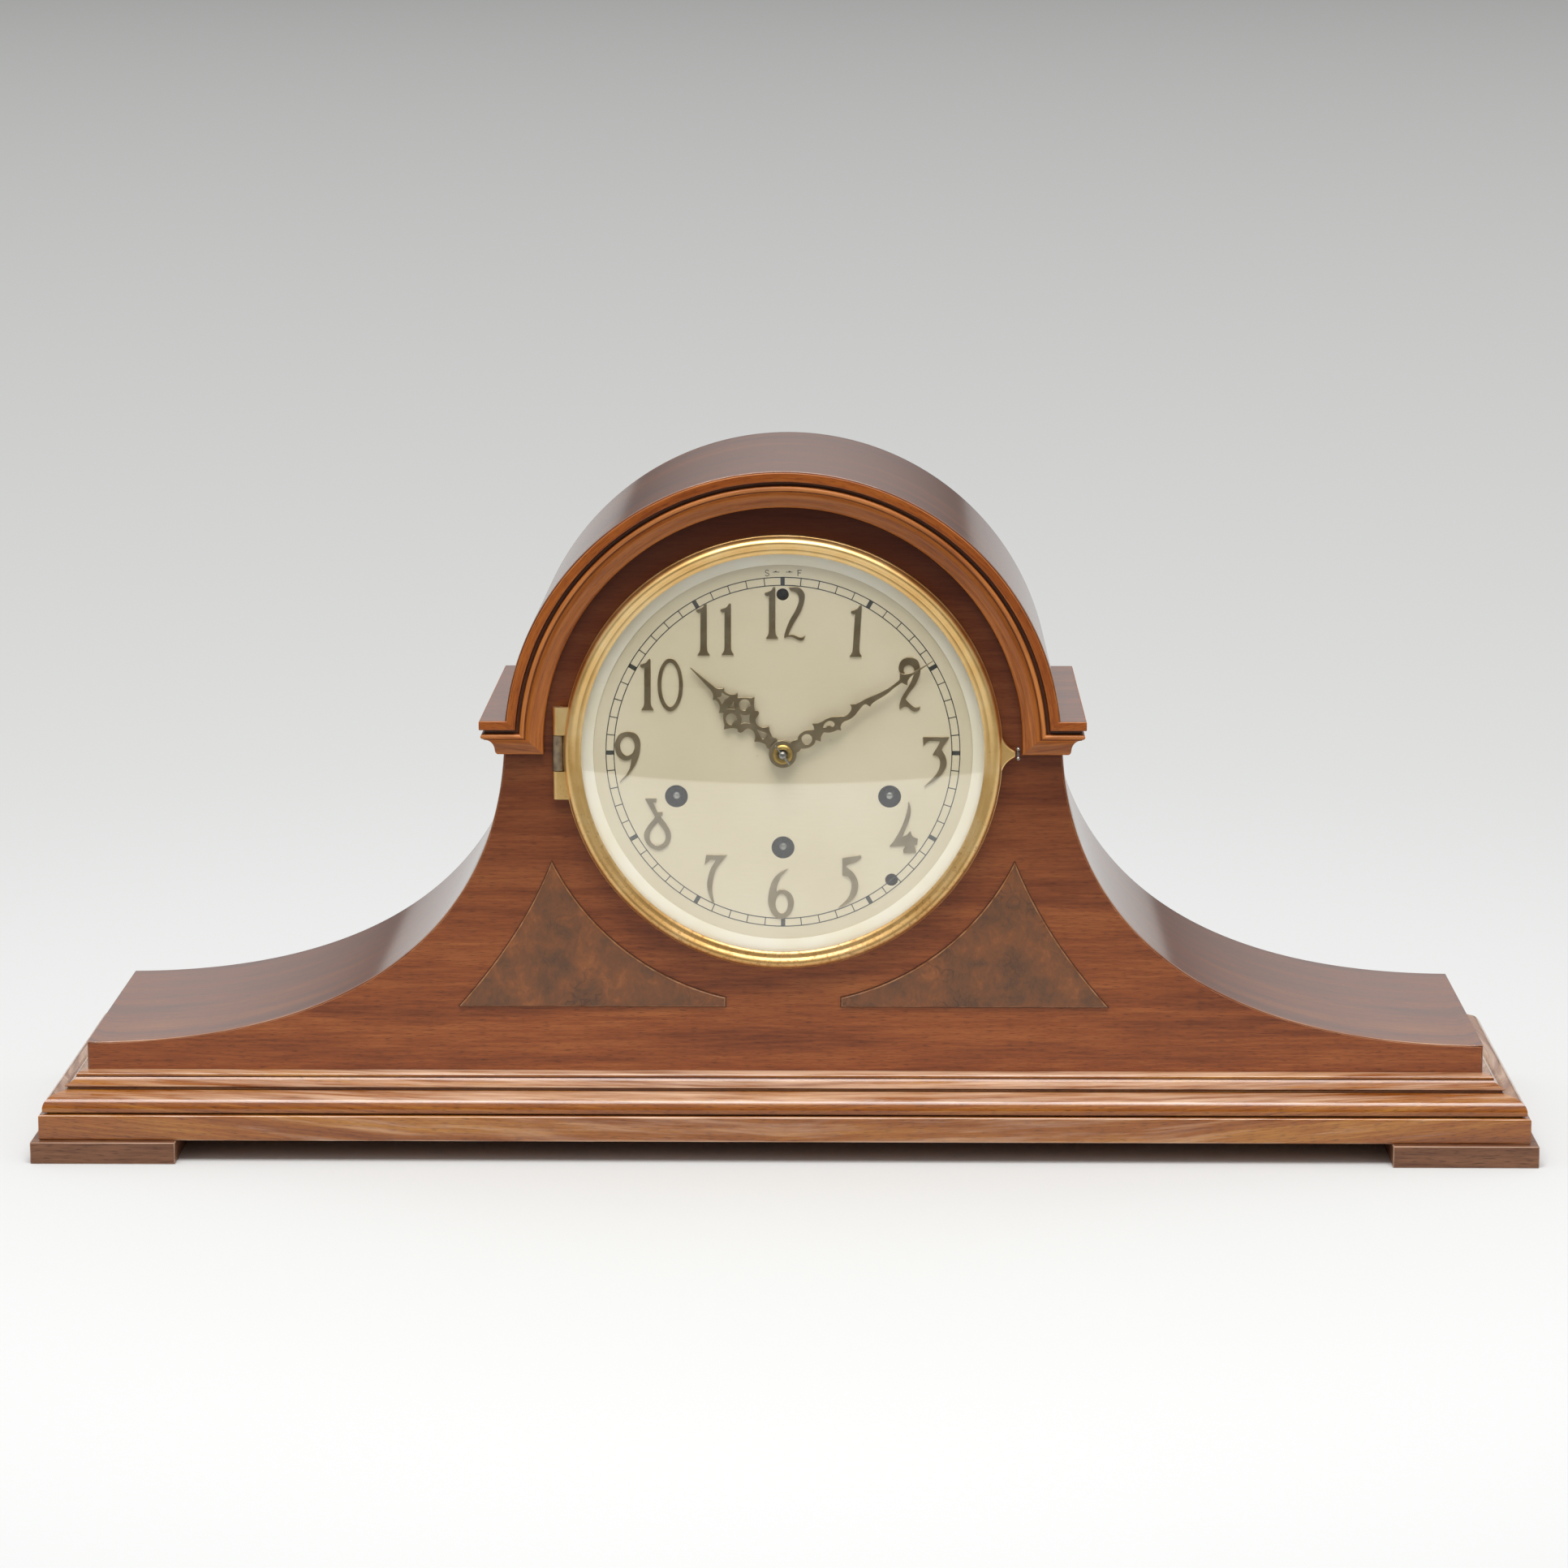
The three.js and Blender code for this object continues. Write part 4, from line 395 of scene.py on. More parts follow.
POCKET_DEPTH = 1.8


def inset(loop, by):
    """A loop moved to its left, which is into the wood round outlines and holes alike."""
    moved = []
    for n, here in enumerate(loop):
        before = Vector(here) - Vector(loop[n - 1])
        after = Vector(loop[(n + 1) % len(loop)]) - Vector(here)
        first = Vector((-before.y, before.x)).normalized()
        second = Vector((-after.y, after.x)).normalized()
        reach = by / max(0.4, 1 + first.dot(second))
        moved.append(tuple(Vector(here) + (first + second) * reach))
    return moved


def wound(loop, way):
    """A loop turned to run anticlockwise (1) or clockwise (-1), without repeated points."""
    kept = [p for n, p in enumerate(loop) if math.dist(p, loop[n - 1]) > 1e-4]
    area = sum(a[0] * b[1] - a[1] * b[0] for a, b in zip(kept, kept[1:] + kept[:1]))
    return kept if area * way > 0 else kept[::-1]


def cover(loops, y, front):
    """A flat face over an outline with holes."""
    flat = [p for loop in loops for p in loop]
    faces = []
    for face in tessellate_polygon([[Vector((x, z, 0)) for x, z in loop] for loop in loops]):
        (ax, az), (bx, bz), (cx, cz) = (flat[k] for k in face)
        left = (bx - ax) * (cz - az) - (bz - az) * (cx - ax) > 0
        faces.append(tuple(face) if left == front else tuple(reversed(face)))
    points = [(x, y, z) for x, z in flat]
    grain = [(x, z, y) for x, z in flat]
    return {"points": points, "faces": faces, "wear_and_painted_light": [0.0] * len(flat), "grain": grain}


def plate(loops, front, back, ease=0.0, steps=4, pockets=()):
    """A board from front to back with its outline and holes in x and z and its front edges
    eased. A pocket is a loop and the depth of its floor."""
    loops = [wound(loop, -1 if n else 1) for n, loop in enumerate(loops)]
    pockets = [(wound(loop, -1), floor) for loop, floor in pockets]
    edges = []
    for loop in loops:
        rings = [(loop, back, 0.0), (loop, front + ease, 0.0)]
        for i in range(1, steps + 1 if ease else 1):
            turn = math.pi / 2 * i / steps
            ring = inset(loop, ease * (1 - math.cos(turn)))
            rings.append((ring, front + ease * (1 - math.sin(turn)), math.sin(2 * turn)))
        edges.append(rings)
    edges += [[(loop, floor, 0.0), (loop, front, 0.0)] for loop, floor in pockets]
    parts = []
    for rings in edges:
        count = len(rings[0][0])
        wall = blank()
        for ring, y, wear_and_painted_light in rings:
            for x, z in ring:
                wall["points"].append((x, y, z))
                wall["wear_and_painted_light"].append(wear_and_painted_light)
                wall["grain"].append((x, z, y))
        for i in range(len(rings) - 1):
            for k in range(count):
                a, b = i * count + k, i * count + (k + 1) % count
                wall["faces"].append((a, b, b + count, a + count))
        parts.append(wall)
    fronts = [rings[-1][0] for rings in edges]
    parts.append(cover(fronts, front, True))
    parts.append(cover(loops, back, False))
    parts += [cover([wound(loop, 1)], floor, True) for loop, floor in pockets]
    return joined(*parts)


def circle(x, z, radius, sides=96):
    """A round loop."""
    angles = [2 * math.pi * i / sides for i in range(sides)]
    return [(x + radius * math.cos(a), z + radius * math.sin(a)) for a in angles]


def sweep_points(steps):
    """The sweep from the neck to the wing tip."""
    points = []
    for i in range(steps + 1):
        t = i / steps
        shares = ((1 - t) ** 3, 3 * t * (1 - t) ** 2, 3 * t * t * (1 - t), t**3)
        points.append(tuple(sum(s * p[axis] for s, p in zip(shares, SWEEP)) for axis in (0, 1)))
    return points


def thinned(points, by):
    """An open line moved to its right by a thickness."""
    moved = []
    for n, here in enumerate(points):
        way = Vector(points[min(n + 1, len(points) - 1)]) - Vector(points[max(n - 1, 0)])
        way.normalize()
        moved.append((here[0] + by * way.y, here[1] - by * way.x))
    return moved


def drum_arc(radius, steps):
    """The drum from its right foot over the top to its left foot."""
    low = math.degrees(math.asin((SHELF - ARCH_Z) / radius))
    return arc((0, ARCH_Z), radius, radius, low, 180 - low, steps)


def case_outline(skin, tip):
    """The outline of the case, moved in by the thickness of the tops."""
    side = thinned(sweep_points(64), skin)
    side = [(NECK - skin, IMPOST_BOTTOM)] + [p for p in side[1:] if p[0] < tip - 0.5] + [(tip, side[-1][1])]
    right = [(tip, BASE_TOP)] + side[::-1] + [(NECK - skin, SHELF - SHOULDER_DROP)]
    left = [(-x, z) for x, z in right[::-1]]
    return right + drum_arc(ARCH_RADIUS - skin, 96) + left


# Mahogany veneer: level grain with fine dark pores, deep red brown under lacquer, deepening towards the arch
# as toning stain and painted shade
MAHOGANY_STOPS = [(0.3, "#652d0f"), (0.5, "#8f4b22"), (0.7, "#ab6433")]
mahogany = lacquered_wood("mahogany_veneer", MAHOGANY_STOPS, "#c9926a", (110, 8), (4, 0.3), 0.36, 0.05,
                          toned_and_shaded=(60, 230))
pocket = [(x, DIAL_Z + z) for x, z in HINGE_POCKET]
board_loops = [case_outline(VENEER, WING - VENEER), circle(0, DIAL_Z, DIAL_OPENING)]
board = plate(board_loops, 0, BOARD, BOARD_EASE, pockets=[(pocket, POCKET_DEPTH)])
fascia = piece("front_fascia", board, mahogany)
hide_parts("front_board")
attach(fascia, "case")

# Back board
# A plain board closing the back, set inside the bent tops, with a round doorway.
# Stained once and left without polish.
TOP_SKIN = 5.0
TIP_WALL = 8.0
SEAT = 0.3
(_, DOOR_FRONT, DOOR_FOOT), (DOOR_RADIUS, DOOR_BACK, DOOR_HEAD) = limits("back_door")
DOOR_Z = (DOOR_FOOT + DOOR_HEAD) / 2
DOOR_LAP = 5.0
DOORWAY = DOOR_RADIUS - DOOR_LAP

# Stained poplar: flat brown with long soft streaks, matt
STAINED_STOPS = [(0.32, "#5a3c27"), (0.5, "#704f35"), (0.68, "#856244")]
stained_poplar = lacquered_wood("stained_poplar", STAINED_STOPS, "#a98662", (150, 11), (6, 0.5), 0.62, 0.0)
back_loops = [case_outline(TOP_SKIN + SEAT, WING - TIP_WALL - SEAT), circle(0, DOOR_Z, DOORWAY)]
back = piece("back_panel", plate(back_loops, DEPTH - BOARD, DEPTH), stained_poplar)
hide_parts("back_board")
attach(back, "case")

# Bent tops
# Thin veneered plywood bent over forms: one over the drum, one down each wing. The grain
# follows the bend. The polish is thin here and shows a grey sheen at a flat angle.
# Bent mahogany veneer: dark red brown bands under a thin coat that shines at a flat angle
TOP_STOPS = [(0.32, "#512209"), (0.5, "#763b12"), (0.68, "#925421")]
top_veneer = lacquered_wood("bent_mahogany_veneer", TOP_STOPS, "#d8a885", (140, 14), (4, 0.35), 0.36, 0.75)

ARCH_PROUD = -limits("arch_moulding")[0].y
DRUM_FRONT = 0.3 - ARCH_PROUD  # just behind the face of the arch moulding
WING_FRONT = 0.15
DRUM_RUB = 0.65
WING_RUB = 0.8
FRONT_EDGE = ((0.6, 0.02, 0.8), (0.2, 0.2, 1.0), (0.0, 0.6, 0.7), (0.0, 1.1, 0.0))  # share, depth, wear


def bent_skin(outside, inside, front, edge_amount):
    """A bent top in one skin, thinned to its veneer where it runs over the edge of the board, its
    front edge scuffed pale."""
    rings = []
    for (x, z), (u, w) in zip(outside, inside):
        thin = VENEER / math.dist((x, z), (u, w))
        under = (x + (u - x) * thin, z + (w - z) * thin)
        ring = [(x, DEPTH, z), (u, DEPTH, w), (u, BOARD, w), (under[0], BOARD, under[1]),
                (under[0], front, under[1])]
        for share, back, wear_and_painted_light in FRONT_EDGE:
            ring.append((x + (under[0] - x) * share, front + back, z + (under[1] - z) * share, wear_and_painted_light * edge_amount))
        rings.append(ring)
    return loft(rings)


drum_curves = [drum_arc(radius, 96) for radius in (ARCH_RADIUS, ARCH_RADIUS - TOP_SKIN)]
drum = piece("drum_skin", bent_skin(*drum_curves, DRUM_FRONT, DRUM_RUB), top_veneer)
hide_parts("drum_top")
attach(drum, "case")

outer = sweep_points(64)
inner_tip = WING - TIP_WALL
inner = [(min(x, inner_tip), z) for x, z in thinned(outer, TOP_SKIN)]
inner[0] = (NECK - TOP_SKIN, IMPOST_BOTTOM)
for side, node in ((1, "wing_top_right"), (-1, "wing_top_left")):
    outside = [(side * x, z) for x, z in [(WING, BASE_TOP)] + outer[::-1]]
    inside = [(side * x, z) for x, z in [(inner_tip, BASE_TOP)] + inner[::-1]]
    wing = piece(node + "_skin", bent_skin(outside, inside, WING_FRONT, WING_RUB), top_veneer)
    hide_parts(node)
    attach(wing, "case")

# Arch and impost mouldings
# One run of moulding: a flat fillet, a groove, a bead, a cove and a lip. It is bent round the
# drum front and mitred to the imposts, which return along the sides of the neck and are
# veneered on top like the drum.
MOULDING_WIDTH = IMPOST_TOP - IMPOST_BOTTOM + 1.4  # the lip laps on to the board
BURIED = 1.5  # let into the board
IMPOST_SIDE = limits("impost_right")[1].x - NECK
MOULDING_EASE = 0.5
GROOVE = (4.0, 5.7)
QUIRK = (7.45, 8.0)  # the fine line between the bead and the cove

# Across from the outer edge and out from the board, in millimetres
fillet = [(VENEER + 0.7, -BURIED), (VENEER, 0), (VENEER, ARCH_PROUD), (4.0, ARCH_PROUD), (4.15, 7.5),
          (5.6, 7.3)]
bead = arc((6.6, 7.9), 1.05, 1.5, 195, 10, 10)
hollow = arc((12.9, 8.7), 5.0, 5.1, 188, 266, 10)
moulding_lip = [(12.7, 3.6), (13.5, 3.4), (MOULDING_WIDTH, 2.6), (MOULDING_WIDTH, 0),
                (MOULDING_WIDTH - 0.7, -BURIED)]
moulding = []
for across, out, wear_and_painted_light in eased(fillet + bead + hollow + moulding_lip, MOULDING_EASE):
    if GROOVE[0] < across < GROOVE[1] and out < ARCH_PROUD - 1:
        wear_and_painted_light = -0.8  # painted shade in the groove
    elif across > QUIRK[1]:
        wear_and_painted_light = 0.78  # cove and lip: scuffed, and painted bounce light from below
    elif across > QUIRK[0]:
        wear_and_painted_light = -0.6  # painted shade in the quirk
    elif across > GROOVE[1]:
        wear_and_painted_light = 1.0  # bead: scuffed, and painted highlight
    elif across > VENEER + 0.5:
        wear_and_painted_light *= 0.45  # edge of the fillet
    moulding.append((across, out, wear_and_painted_light))


def miter_angle(across):
    """Where the arch meets the impost, for a line of the moulding."""
    return math.asin((IMPOST_TOP - across - ARCH_Z) / (ARCH_RADIUS - across))


def arch_ring(share):
    """The moulding at a share of the way round the arch."""
    ring = []
    for across, out, wear_and_painted_light in moulding:
        radius = ARCH_RADIUS - across
        start = miter_angle(across)
        angle = start + (math.pi - 2 * start) * share
        ring.append((radius * math.cos(angle), -out, ARCH_Z + radius * math.sin(angle), wear_and_painted_light))
    return ring


# Mahogany moulding: straight orange brown stock with the polish worn off the sharp edges, painted shade in
# its groove and quirk, and painted light on its bead, cove and lip
MOULDING_STOPS = [(0.3, "#6c2f08"), (0.5, "#964c15"), (0.7, "#b56722")]
moulding_wood = lacquered_wood("mahogany_moulding", MOULDING_STOPS, "#cf8240", (90, 6), (4, 0.35), 0.4, 0.05)
ARCH_STEPS = 96
arch = piece("arch_frame", loft([arch_ring(i / ARCH_STEPS) for i in range(ARCH_STEPS + 1)]), moulding_wood)
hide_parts("arch_moulding")
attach(arch, "case")


def impost(side):
    """The moulding from the miter to the corner of the neck and back along its side, over a
    core that fills the neck behind it."""
    miter = arch_ring(0)
    corner = [(NECK + out * IMPOST_SIDE / ARCH_PROUD, -out, IMPOST_TOP - a, w) for a, out, w in moulding]
    behind = [(x, DEPTH, z, w) for x, y, z, w in corner]
    runs = []
    for start, end in ((miter, corner), (corner, behind)):
        rings = [[(side * x, *rest) for x, *rest in ring] for ring in (start, end)]
        runs.append(loft(rings))
    ends = sorted((side * (NECK - TOP_SKIN), side * NECK))
    core = block((ends[0], 0, IMPOST_BOTTOM), (ends[1], DEPTH - 0.2, SHELF), 0.05)
    return joined(*runs, core)


SHELF_VENEER = 0.06
SHELF_EDGE = 0.4  # the moulding shows as a thin line round the veneer
DRUM_FOOT = drum_arc(ARCH_RADIUS, 1)[0][0]
for side, node in ((1, "impost_right"), (-1, "impost_left")):
    shelf = piece(node + "_moulding", impost(side), moulding_wood)
    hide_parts(node)
    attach(shelf, "case")
    ends = sorted((side * (DRUM_FOOT - 0.3), side * (NECK + IMPOST_SIDE - SHELF_EDGE)))
    veneer_form = block((ends[0], SHELF_EDGE - ARCH_PROUD, SHELF - 0.2),
                        (ends[1], DEPTH - 0.1, SHELF + SHELF_VENEER), 0.03)
    shelf_veneer = piece(node + "_veneer", veneer_form, top_veneer)
    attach(shelf_veneer, "case")

# Burl panels
# Two three-sided overlays of burl veneer on a thin core, glued to the front board under the
# dial. Their edges are rounded and rubbed, and a dark strip of painted shadow runs round them.
(PANEL_INNER, PANEL_FRONT, PANEL_FOOT), (PANEL_OUTER, _, PANEL_TIP_Z) = limits("burl_panel_right")
PANEL_GAP = 14.7  # from the bezel
PANEL_ARC = limits("bezel_ring")[1].z - DIAL_Z + PANEL_GAP
PANEL_HOLLOW = 7.0
PANEL_EASE = 0.75


def panel_loop():
    """Foot, outer edge bowed inwards, and the arc about the dial."""
    tip_angle = math.asin((DIAL_Z - PANEL_TIP_Z) / PANEL_ARC)
    tip = (PANEL_ARC * math.cos(tip_angle), PANEL_TIP_Z)
    start = Vector((PANEL_OUTER, PANEL_FOOT))
    bow = Vector(((tip[0] + PANEL_OUTER) / 2 - PANEL_HOLLOW, (PANEL_TIP_Z + PANEL_FOOT) / 2))
    edge = [start.lerp(bow, i / 24).lerp(bow.lerp(Vector(tip), i / 24), i / 24) for i in range(25)]
    end_angle = math.acos(PANEL_INNER / PANEL_ARC)
    curve = arc((0, DIAL_Z), PANEL_ARC, PANEL_ARC, -math.degrees(tip_angle), -math.degrees(end_angle), 40)
    return [(PANEL_INNER, PANEL_FOOT)] + [tuple(p) for p in edge] + curve[1:]


# Burl: soft clouds of brown and orange with dark eyes and curled lines, no set grain
burl, tree = finish("walnut_burl_veneer")
place = add(tree, "Attribute", out="Vector", attribute_name="grain")
warp = add(tree, "TexNoise", {"Vector": place, "Scale": 1 / 8, "Detail": 2}, out="Color")
bent = add(tree, "VectorMath", {0: warp, 1: (8, 8, 8), 2: place}, operation="MULTIPLY_ADD")
clouds = add(tree, "TexNoise", {"Vector": bent, "Scale": 1 / 11, "Detail": 3})
upright = add(tree, "Mapping", {"Vector": bent, "Scale": (1 / 2.2, 1 / 4.5, 1)})
mottle = add(tree, "TexNoise", {"Vector": upright, "Scale": 1, "Detail": 5, "Roughness": 0.68})
tone = add(tree, "Mix", {0: 0.4, 2: clouds, 3: mottle}, data_type="FLOAT")
swirl = add(tree, "ValToRGB", {"Fac": tone},
            stops=[(0.32, "#4e331f"), (0.45, "#684023"), (0.57, "#7b4823"), (0.72, "#985a2a")])
eyes = add(tree, "TexVoronoi", {"Vector": bent, "Scale": 1 / 6.5})
rings = add(tree, "Math", {0: eyes, 1: 17.0}, operation="MULTIPLY")
waves = add(tree, "Math", {0: rings}, operation="SINE")
curl = add(tree, "MapRange", {"Value": waves, "From Min": 0.7})
patch = add(tree, "TexNoise", {"Vector": place, "Scale": 1 / 18, "Detail": 2})
some = add(tree, "MapRange", {"Value": patch, "From Min": 0.5, "From Max": 0.66, "To Max": 0.45})
lines = add(tree, "Math", {0: curl, 1: some}, operation="MULTIPLY")
figured = add(tree, "Mix", {0: lines, 6: swirl, 7: linear("#3a2416")}, out=2, data_type="RGBA")
rub = add(tree, "Attribute", out="Fac", attribute_name="wear_and_painted_light")
thin = add(tree, "TexNoise", {"Vector": place, "Scale": 1 / 4, "Detail": 4})
bare_edge = add(tree, "Math", {0: rub, 1: thin}, operation="MULTIPLY")
amount = add(tree, "MapRange", {"Value": bare_edge, "From Min": 0.25, "From Max": 0.6, "To Max": 0.8})
colour = add(tree, "Mix", {0: amount, 6: figured, 7: linear("#b4835c")}, out=2, data_type="RGBA")
knots = add(tree, "Math", {0: lines, 1: -2.0, 2: mottle}, operation="MULTIPLY_ADD")
relief = add(tree, "Bump", {"Height": knots, "Strength": 0.3, "Distance": 0.2 * MM})
shader = add(tree, "BsdfPrincipled", {"Base Color": colour, "Roughness": 0.36, "Normal": relief,
                                      "Coat Weight": 0.2, "Coat Roughness": 0.2})
add(tree, "OutputMaterial", {"Surface": shader})

# Painted shadow: nearly black brown, a thin strip round each panel where it meets the board
shadow_line_finish, tree = finish("painted_shadow_line")
shadow_mottle = add(tree, "TexNoise", {"Scale": 1 / (6 * MM), "Detail": 3})
shade = add(tree, "ValToRGB", {"Fac": shadow_mottle}, stops=[(0.35, "#3a1d0f"), (0.65, "#63371d")])
shader = add(tree, "BsdfPrincipled", {"Base Color": shade, "Roughness": 0.5})
add(tree, "OutputMaterial", {"Surface": shader})

SHADOW_LINE_OUT = 0.28  # painted shadow round the panel
SHADOW_LINE_UNDER = 0.3
SHADOW_LINE_PROUD = 0.12
for side, node in ((1, "burl_panel_right"), (-1, "burl_panel_left")):
    loop = wound([(side * x, z) for x, z in panel_loop()], 1)
    panel = piece(node + "_overlay", plate([loop], PANEL_FRONT, 0, PANEL_EASE), burl)
    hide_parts(node)
    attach(panel, "case")
    # A thin dark strip of painted shadow round the panel
    shadow_line_form = plate([inset(loop, -SHADOW_LINE_OUT), inset(loop, SHADOW_LINE_UNDER)], -SHADOW_LINE_PROUD, 0)
    line = piece(node + "_line", shadow_line_form, shadow_line_finish)
    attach(line, "case")

# Movement
# Two brass plates on pillars, with spring barrels, cut wheels and steel arbors between them.
# It stays in its CAD shapes, because only the open back door shows it.
def dress(nodes, material):
    """Gives CAD nodes their finish."""
    for node in nodes:
        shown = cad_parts[node].data
        shown.materials.clear()
        shown.materials.append(material)


# Plate brass: straight emery strokes over yellow metal, browned in patches by old lacquer
plate_brass, tree = finish("emeried_brass")
place = add(tree, "TexCoord", out="Object")
strokes_at = add(tree, "Mapping", {"Vector": place, "Scale": (1 / (14 * MM), 1 / (14 * MM), 1 / (0.5 * MM))})
strokes = add(tree, "TexNoise", {"Vector": strokes_at, "Scale": 1, "Detail": 2})
patches = add(tree, "TexNoise", {"Vector": place, "Scale": 1 / (18 * MM), "Detail": 3})
tone = add(tree, "Mix", {0: 0.4, 2: patches, 3: strokes}, data_type="FLOAT")
shade = add(tree, "ValToRGB", {"Fac": tone}, stops=[(0.32, "#8f6e35"), (0.5, "#b8964f"), (0.68, "#cdb06a")])
rough = add(tree, "MapRange", {"Value": tone, "To Min": 0.25, "To Max": 0.5})
shader = add(tree, "BsdfPrincipled", {"Base Color": shade, "Metallic": 1, "Roughness": rough})
add(tree, "OutputMaterial", {"Surface": shader})

# Arbor steel: turned bright grey with faint rings and a little rust bloom
bright_steel, tree = finish("turned_steel")
place = add(tree, "TexCoord", out="Object")
rings_at = add(tree, "Mapping", {"Vector": place, "Scale": (1 / (4 * MM), 1 / (0.4 * MM), 1 / (4 * MM))})
rings = add(tree, "TexNoise", {"Vector": rings_at, "Scale": 1, "Detail": 2})
shade = add(tree, "ValToRGB", {"Fac": rings}, stops=[(0.3, "#6e6c69"), (0.5, "#a8a8a6"), (0.7, "#c4c4c2")])
rough = add(tree, "MapRange", {"Value": rings, "To Min": 0.2, "To Max": 0.42})
shader = add(tree, "BsdfPrincipled", {"Base Color": shade, "Metallic": 1, "Roughness": rough})
add(tree, "OutputMaterial", {"Surface": shader})


def mottled(name, size, detail, stops, metallic, rough):
    """A finish whose colour drifts over a size in millimetres, and its shine where rough is a
    pair."""
    made, tree = finish(name)
    place = add(tree, "TexCoord", out="Object")
    drift = add(tree, "TexNoise", {"Vector": place, "Scale": 1 / (size * MM), "Detail": detail})
    shade = add(tree, "ValToRGB", {"Fac": drift}, stops=stops)
    if isinstance(rough, tuple):
        rough = add(tree, "MapRange", {"Value": drift, "To Min": rough[0], "To Max": rough[1]})
    shader = add(tree, "BsdfPrincipled", {"Base Color": shade, "Metallic": metallic, "Roughness": rough})
    add(tree, "OutputMaterial", {"Surface": shader})
    return made


# Blued steel: heated to a blue black skin; on the winding arbors this near black is also painted shade in the
# key holes
blued_steel_and_shade = mottled("blued_steel_and_shade", 2, 2, [(0.35, "#1a1e24"), (0.65, "#2c3138")], 0.6, 0.5)

TRAINS = ("strike", "chime", "time")
dress(["regulator_arbor"], blued_steel_and_shade)
dress(["movement_front_plate", "movement_back_plate", "cannon_pinion", "hour_wheel", "minute_wheel",
       "intermediate_wheel", "center_wheel", "third_wheel", "escape_wheel", "pendulum_bob"], plate_brass)
dress([train + "_barrel" for train in TRAINS], plate_brass)
dress([train + "_mainspring" for train in TRAINS], bright_steel)
# The winding arbors are painted near black as shade in the key holes, round the bright domes
dress([train + "_winding_arbor" for train in TRAINS], blued_steel_and_shade)
dress(["anchor", "pendulum_rod"], bright_steel)

# Chime
# Steel rods driven into a cast iron block on the bottom board, with brass hammers on a bar.
# The block was painted once and has gone dull.

# Painted cast iron: near black and matt over a gritty skin
iron, tree = finish("painted_cast_iron")
place = add(tree, "TexCoord", out="Object")
grit = add(tree, "TexNoise", {"Vector": place, "Scale": 1 / (1.2 * MM), "Detail": 4})
shade = add(tree, "ValToRGB", {"Fac": grit}, stops=[(0.35, "#2a2927"), (0.65, "#454340")])
relief = add(tree, "Bump", {"Height": grit, "Strength": 0.4, "Distance": 0.2 * MM})
shader = add(tree, "BsdfPrincipled", {"Base Color": shade, "Roughness": 0.6, "Normal": relief})
add(tree, "OutputMaterial", {"Surface": shader})
dress(["chime_rod_block"], iron)
dress(["chime_rod_1", "chime_rod_2"], bright_steel)
dress(["hammer_1", "hammer_2"], plate_brass)

# Dial
# A sheet of brass, grained and silvered, gone cream under its lacquer. Key holes are punched
# through it, and it is pinned to the face of the front board.
KEY_HOLE = 4.3
KEY_PLACES = [(-40, -16.7), (40, -16.7), (0, -36.2)]
DIAL_EASE = 0.15
SMALL_HOLES = [(0, 0, 3.6), (0, 59.8, 2.3), (40.8, -48.5, 2.4)]

# Silvered dial: a satin cream with faint dust marks and slow changes of tone
silvered, tree = finish("silvered_brass_dial")
place = add(tree, "TexCoord", out="Object")
slow = add(tree, "TexNoise", {"Vector": place, "Scale": 1 / (45 * MM), "Detail": 2})
brush_at = add(tree, "Mapping", {"Vector": place, "Scale": (1 / (9 * MM), 1 / MM, 1 / (0.5 * MM))})
brush = add(tree, "TexNoise", {"Vector": brush_at, "Scale": 1, "Detail": 2})
tone = add(tree, "Mix", {0: 0.25, 2: slow, 3: brush}, data_type="FLOAT")
shade = add(tree, "ValToRGB", {"Fac": tone}, stops=[(0.3, "#e2d6b8"), (0.5, "#e9ddc1"), (0.7, "#efe4cb")])
specks = add(tree, "TexVoronoi", {"Vector": place, "Scale": 1 / (9 * MM)})
spot = add(tree, "MapRange", {"Value": specks, "From Min": 0.02, "From Max": 0.035, "To Min": 0.5,
                              "To Max": 0})
soiled = add(tree, "Mix", {0: spot, 6: shade, 7: linear("#8f8468")}, out=2, data_type="RGBA")
relief = add(tree, "Bump", {"Height": brush, "Strength": 0.06, "Distance": 0.05 * MM})
shader = add(tree, "BsdfPrincipled", {"Base Color": soiled, "Metallic": 0.15, "Roughness": 0.5,
                                      "Normal": relief})
add(tree, "OutputMaterial", {"Surface": shader})

holes = [circle(x, DIAL_Z + z, KEY_HOLE, 48) for x, z in KEY_PLACES]
holes += [circle(x, DIAL_Z + z, radius, 36) for x, z, radius in SMALL_HOLES]
dial_form = plate([circle(0, DIAL_Z, DIAL_RADIUS, 144)] + holes, DIAL_FRONT, 0, DIAL_EASE, 2)
dial = piece("dial_sheet", dial_form, silvered)
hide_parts("dial")
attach(dial, "case")

# Minute track and regulator marks
# Printed on the dial in thin black ink: two circles with a line for each minute, a heavy bar
# for each fifth, and the slow and fast ends of the regulator over the twelve.
INK = 0.05  # drawn thicker than ink, so that it lies clear of the dial
TRACK_OUTER = 66.3
TRACK_INNER = 63.3
LINE = 0.34
BAR = 1.6

# Printing ink: flat blue black, thinner and browner where it has worn
ink = mottled("printing_ink", 7, 3, [(0.35, "#2a2f33"), (0.7, "#4f4c41")], 0, 0.55)


def on_dial(loops):
    """Loops drawn about the center of the dial, at its height."""
    return [[(x, DIAL_Z + z) for x, z in loop] for loop in loops]


def inked(*loops):
    """Ink on the dial."""
    return plate(on_dial(loops), DIAL_FRONT - INK, DIAL_FRONT)


def stroke(points, width):
    """A line of even width along points."""
    half = width / 2
    return thinned(points, half) + thinned(points, -half)[::-1]


